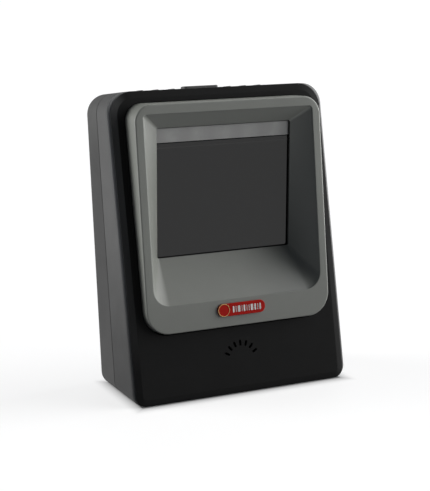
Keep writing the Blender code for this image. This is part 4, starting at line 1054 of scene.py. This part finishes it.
def make_jack():
    """The interface jack: a moulded socket with a latch way and a row of sprung contacts."""
    middle = (JACK_LOW.z + JACK_HIGH.z) / 2 - CASE_BOTTOM
    half_width, half_height = JACK_HIGH.x, (JACK_HIGH.z - JACK_LOW.z) / 2
    front, rear = JACK_LOW.y, JACK_HIGH.y
    outline = (half_width, middle - half_height, middle + half_height, 0.4 * MM, 0.4 * MM)
    body = plate(outline, front, rear, 0.25 * MM)
    floor = middle - half_height + 1.2 * MM
    ceiling = floor + 10 * MM
    socket = (5.95 * MM, floor + 2.4 * MM, ceiling, 0.3 * MM, 0.3 * MM)
    latch_way = (3.1 * MM, floor, floor + 4 * MM, 0.3 * MM, 0.3 * MM)
    flare = 0.4 * MM
    for outline, depth in ((socket, 2 * MM), (latch_way, 5 * MM)):
        rings = [ring(outline, (front + depth, 0.0)), ring(outline, (rear - flare, 0.0))]
        rings.append(ring(outline, (rear + flare, 0.0), 0.0, -2 * flare))
        body = carved(body, skin(rings, capped=True))
    piece("jack_shell", body, "black_plastic", "interface_jack")

    high = ceiling - 0.25 * MM
    route = [(rear - 1.6 * MM, high), (rear - 3.2 * MM, high), (rear - 3.7 * MM, high - 0.5 * MM)]
    route += [(front + 4.4 * MM, high - 3.4 * MM), (front + 3.4 * MM, high - 3.3 * MM)]
    places = [(i - (CONTACT_COUNT - 1) / 2) * CONTACT_PITCH for i in range(CONTACT_COUNT)]
    springs = [strip(x, 0.4 * MM, 0.2 * MM, route) for x in places]
    piece("jack_contacts", together(*springs), "tinned_steel")


def strip(x, width, thickness, route):
    """A bent metal strip of even width along a route of (y, z) points."""
    rings = []
    for i, (y, z) in enumerate(route):
        before, after = Vector(route[max(i - 1, 0)]), Vector(route[min(i + 1, len(route) - 1)])
        along = (after - before).normalized()
        across = Vector((0, -along.y, along.x)) * thickness / 2
        side = Vector((width / 2, 0, 0))
        left, right = Vector((x, y, z)) - side, Vector((x, y, z)) + side
        rings.append([left - across, right - across, right + across, left + across])
    return skin(rings, capped=True)


def screw(name, facing, head_radius, head_depth, shank_radius):
    """A cross-recessed pan-head screw in place of a CAD one that lies along depth. Its head
    is towards the rear when facing is positive."""
    low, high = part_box(name)
    length = high.y - low.y
    seat = length - head_depth
    profile = [(0, 0), (0.35 * shank_radius, 0)]
    crest, pitch = 0.12 * shank_radius, 0.45 * shank_radius
    turns = int((seat - shank_radius) / pitch)
    for i in range(turns):
        foot = shank_radius + i * pitch
        profile += [(shank_radius - crest, foot), (shank_radius, foot + 0.5 * pitch)]
    profile += [(shank_radius - crest, seat), (head_radius, seat)]
    crown = 0.55 * head_depth
    profile += [(head_radius, length - crown)]
    dome = [radians(15 * i) for i in range(1, 6)]
    for turn in dome:
        radius = head_radius * (0.35 + 0.65 * cos(turn))
        profile.append((radius, length - crown * (1 - sin(turn))))
    profile += [(0, length)]
    whole = carved(turned(profile), cross_recess(head_radius, 0.7 * head_depth, length))
    middle = (low + high) / 2
    tip = low.y if facing > 0 else high.y
    start = Matrix.Translation((middle.x, tip, middle.z - CASE_BOTTOM))
    place = start @ Matrix.Rotation(0 if facing > 0 else pi, 4, "Z")
    piece(f"{name}_cross_head", moved(whole, place), "zinc_steel", name)


def cross_recess(head_radius, depth, top):
    """Two crossed blades that narrow towards the bottom of the recess."""
    ends = (
        (0.30 * head_radius, 0.11 * head_radius, top - depth),
        (0.62 * head_radius, 0.17 * head_radius, top + 0.1 * MM),
    )
    rings = []
    for long, thin, y in ends:
        corners = ((long, thin), (-long, thin), (-long, -thin), (long, -thin))
        rings.append([Vector((x, y, z)) for x, z in corners])
    blades = [
        moved(skin(rings, capped=True), Matrix.Rotation(radians(turn), 4, "Y"))
        for turn in (0, 90)
    ]
    return carved(*blades, "UNION")


def make_screws():
    """Each is given its facing, its head's radius and depth, and its shank's radius."""
    for number in range(1, 5):
        screw(f"case_screw_{number}", 1, 2.7 * MM, 2.0 * MM, 1.45 * MM)
    for number in (1, 2):
        screw(f"chassis_screw_{number}", 1, 2.1 * MM, 1.5 * MM, 1.05 * MM)
        screw(f"imager_screw_{number}", 1, 1.8 * MM, 1.2 * MM, 0.9 * MM)
        screw(f"board_screw_{number}", -1, 2.4 * MM, 1.6 * MM, 1.1 * MM)


# ---------------------------------------------------------------- studio


def make_floor():
    """A plain pale floor that glows evenly, with a painted contact shadow where its glow is taken
    away under the case.
    """
    half = FLOOR_HALF
    form = bmesh.new()
    corners = ((-half, -half), (half, -half), (half, half), (-half, half))
    form.faces.new([form.verts.new((x, y, 0)) for x, y in corners])
    floor = bpy.data.objects.new("floor", finished(form))
    bpy.context.scene.collection.objects.link(floor)
    look = Nodes("floor", (0.27, 0.27, 0.27), 0.9)
    look.paint(look.shades(look.noise(0.4), 0.005))
    look.set(Emission_Color=(1, 1, 1, 1))
    # Painted contact shadow: the glow fades out under the case.
    glow = glow_with_painted_contact_shadow(look, FLOOR_GLOW)
    look.tree.links.new(glow, look.shader.inputs["Emission Strength"])
    floor.data.materials.append(look.material)
    floor.visible_diffuse = False
    floor.visible_shadow = False


def glow_with_painted_contact_shadow(look, strength):
    """Painted contact shadow: no glow under the case, rising steeply to the full strength just
    outside it.
    """
    sides = []
    for axis, low, high in FOOTPRINT:
        below = look.math("SUBTRACT", low, look.along(axis))
        above = look.math("SUBTRACT", look.along(axis), high)
        sides.append(look.math("MAXIMUM", below, above))
    outward = look.math("MAXIMUM", *sides)
    rise = look.math("POWER", look.range(outward, 0.0, FLOOR_GLOW_RISE), 0.45)
    return look.math("MULTIPLY", rise, strength)


def soft_light(name, strength, azimuth, elevation, spread):
    """A far softbox: azimuth 0 is in front of the object, 90 to its right."""
    lamp = bpy.data.lights.new(name, "SUN")
    lamp.energy = strength
    lamp.angle = radians(spread)
    made = bpy.data.objects.new(name, lamp)
    bpy.context.scene.collection.objects.link(made)
    turn, rise = radians(azimuth), radians(elevation)
    source = Vector((cos(rise) * sin(turn), -cos(rise) * cos(turn), sin(rise)))
    made.rotation_euler = source.to_track_quat("Z", "Y").to_euler()


def make_studio():
    """The floor, the lights and the sky. A light has a strength, azimuth, elevation, spread."""
    make_floor()
    soft_light("left_softbox", 2.73, -122, 9, 34)
    soft_light("left_fill", 0.80, -120, 45, 30)
    soft_light("right_softbox", 2.46, 90, 8, 30)
    soft_light("front_right_softbox", 1.80, 60, 17, 40)
    soft_light("right_fill", 1.26, 85, 45, 34)
    soft_light("rear_right_fill", 0.27, 145, 48, 34)
    world = bpy.data.worlds.new("studio")
    world.use_nodes = True
    world.node_tree.nodes["Background"].inputs["Color"].default_value = (0.090, 0.097, 0.108, 1)
    bpy.context.scene.world = world
    bpy.context.scene.view_settings.view_transform = "Standard"


def make_camera():
    place, target = Vector(CAMERA_PLACE), Vector(CAMERA_TARGET)
    lens = bpy.data.cameras.new("camera")
    lens.lens = CAMERA_LENS
    camera = bpy.data.objects.new("camera", lens)
    bpy.context.scene.collection.objects.link(camera)
    camera.location = place
    turn = (target - place).to_track_quat("-Z", "Y")
    roll = Quaternion((0, 0, 1), radians(CAMERA_ROLL))
    camera.rotation_euler = (turn @ roll).to_euler()
    bpy.context.scene.camera = camera


finish_cad_nodes()
make_panel()
make_bezel()
make_housing()
make_cover()
make_feet()
make_window()
make_badge()
make_key()
make_jack()
make_screws()
make_studio()
make_camera()
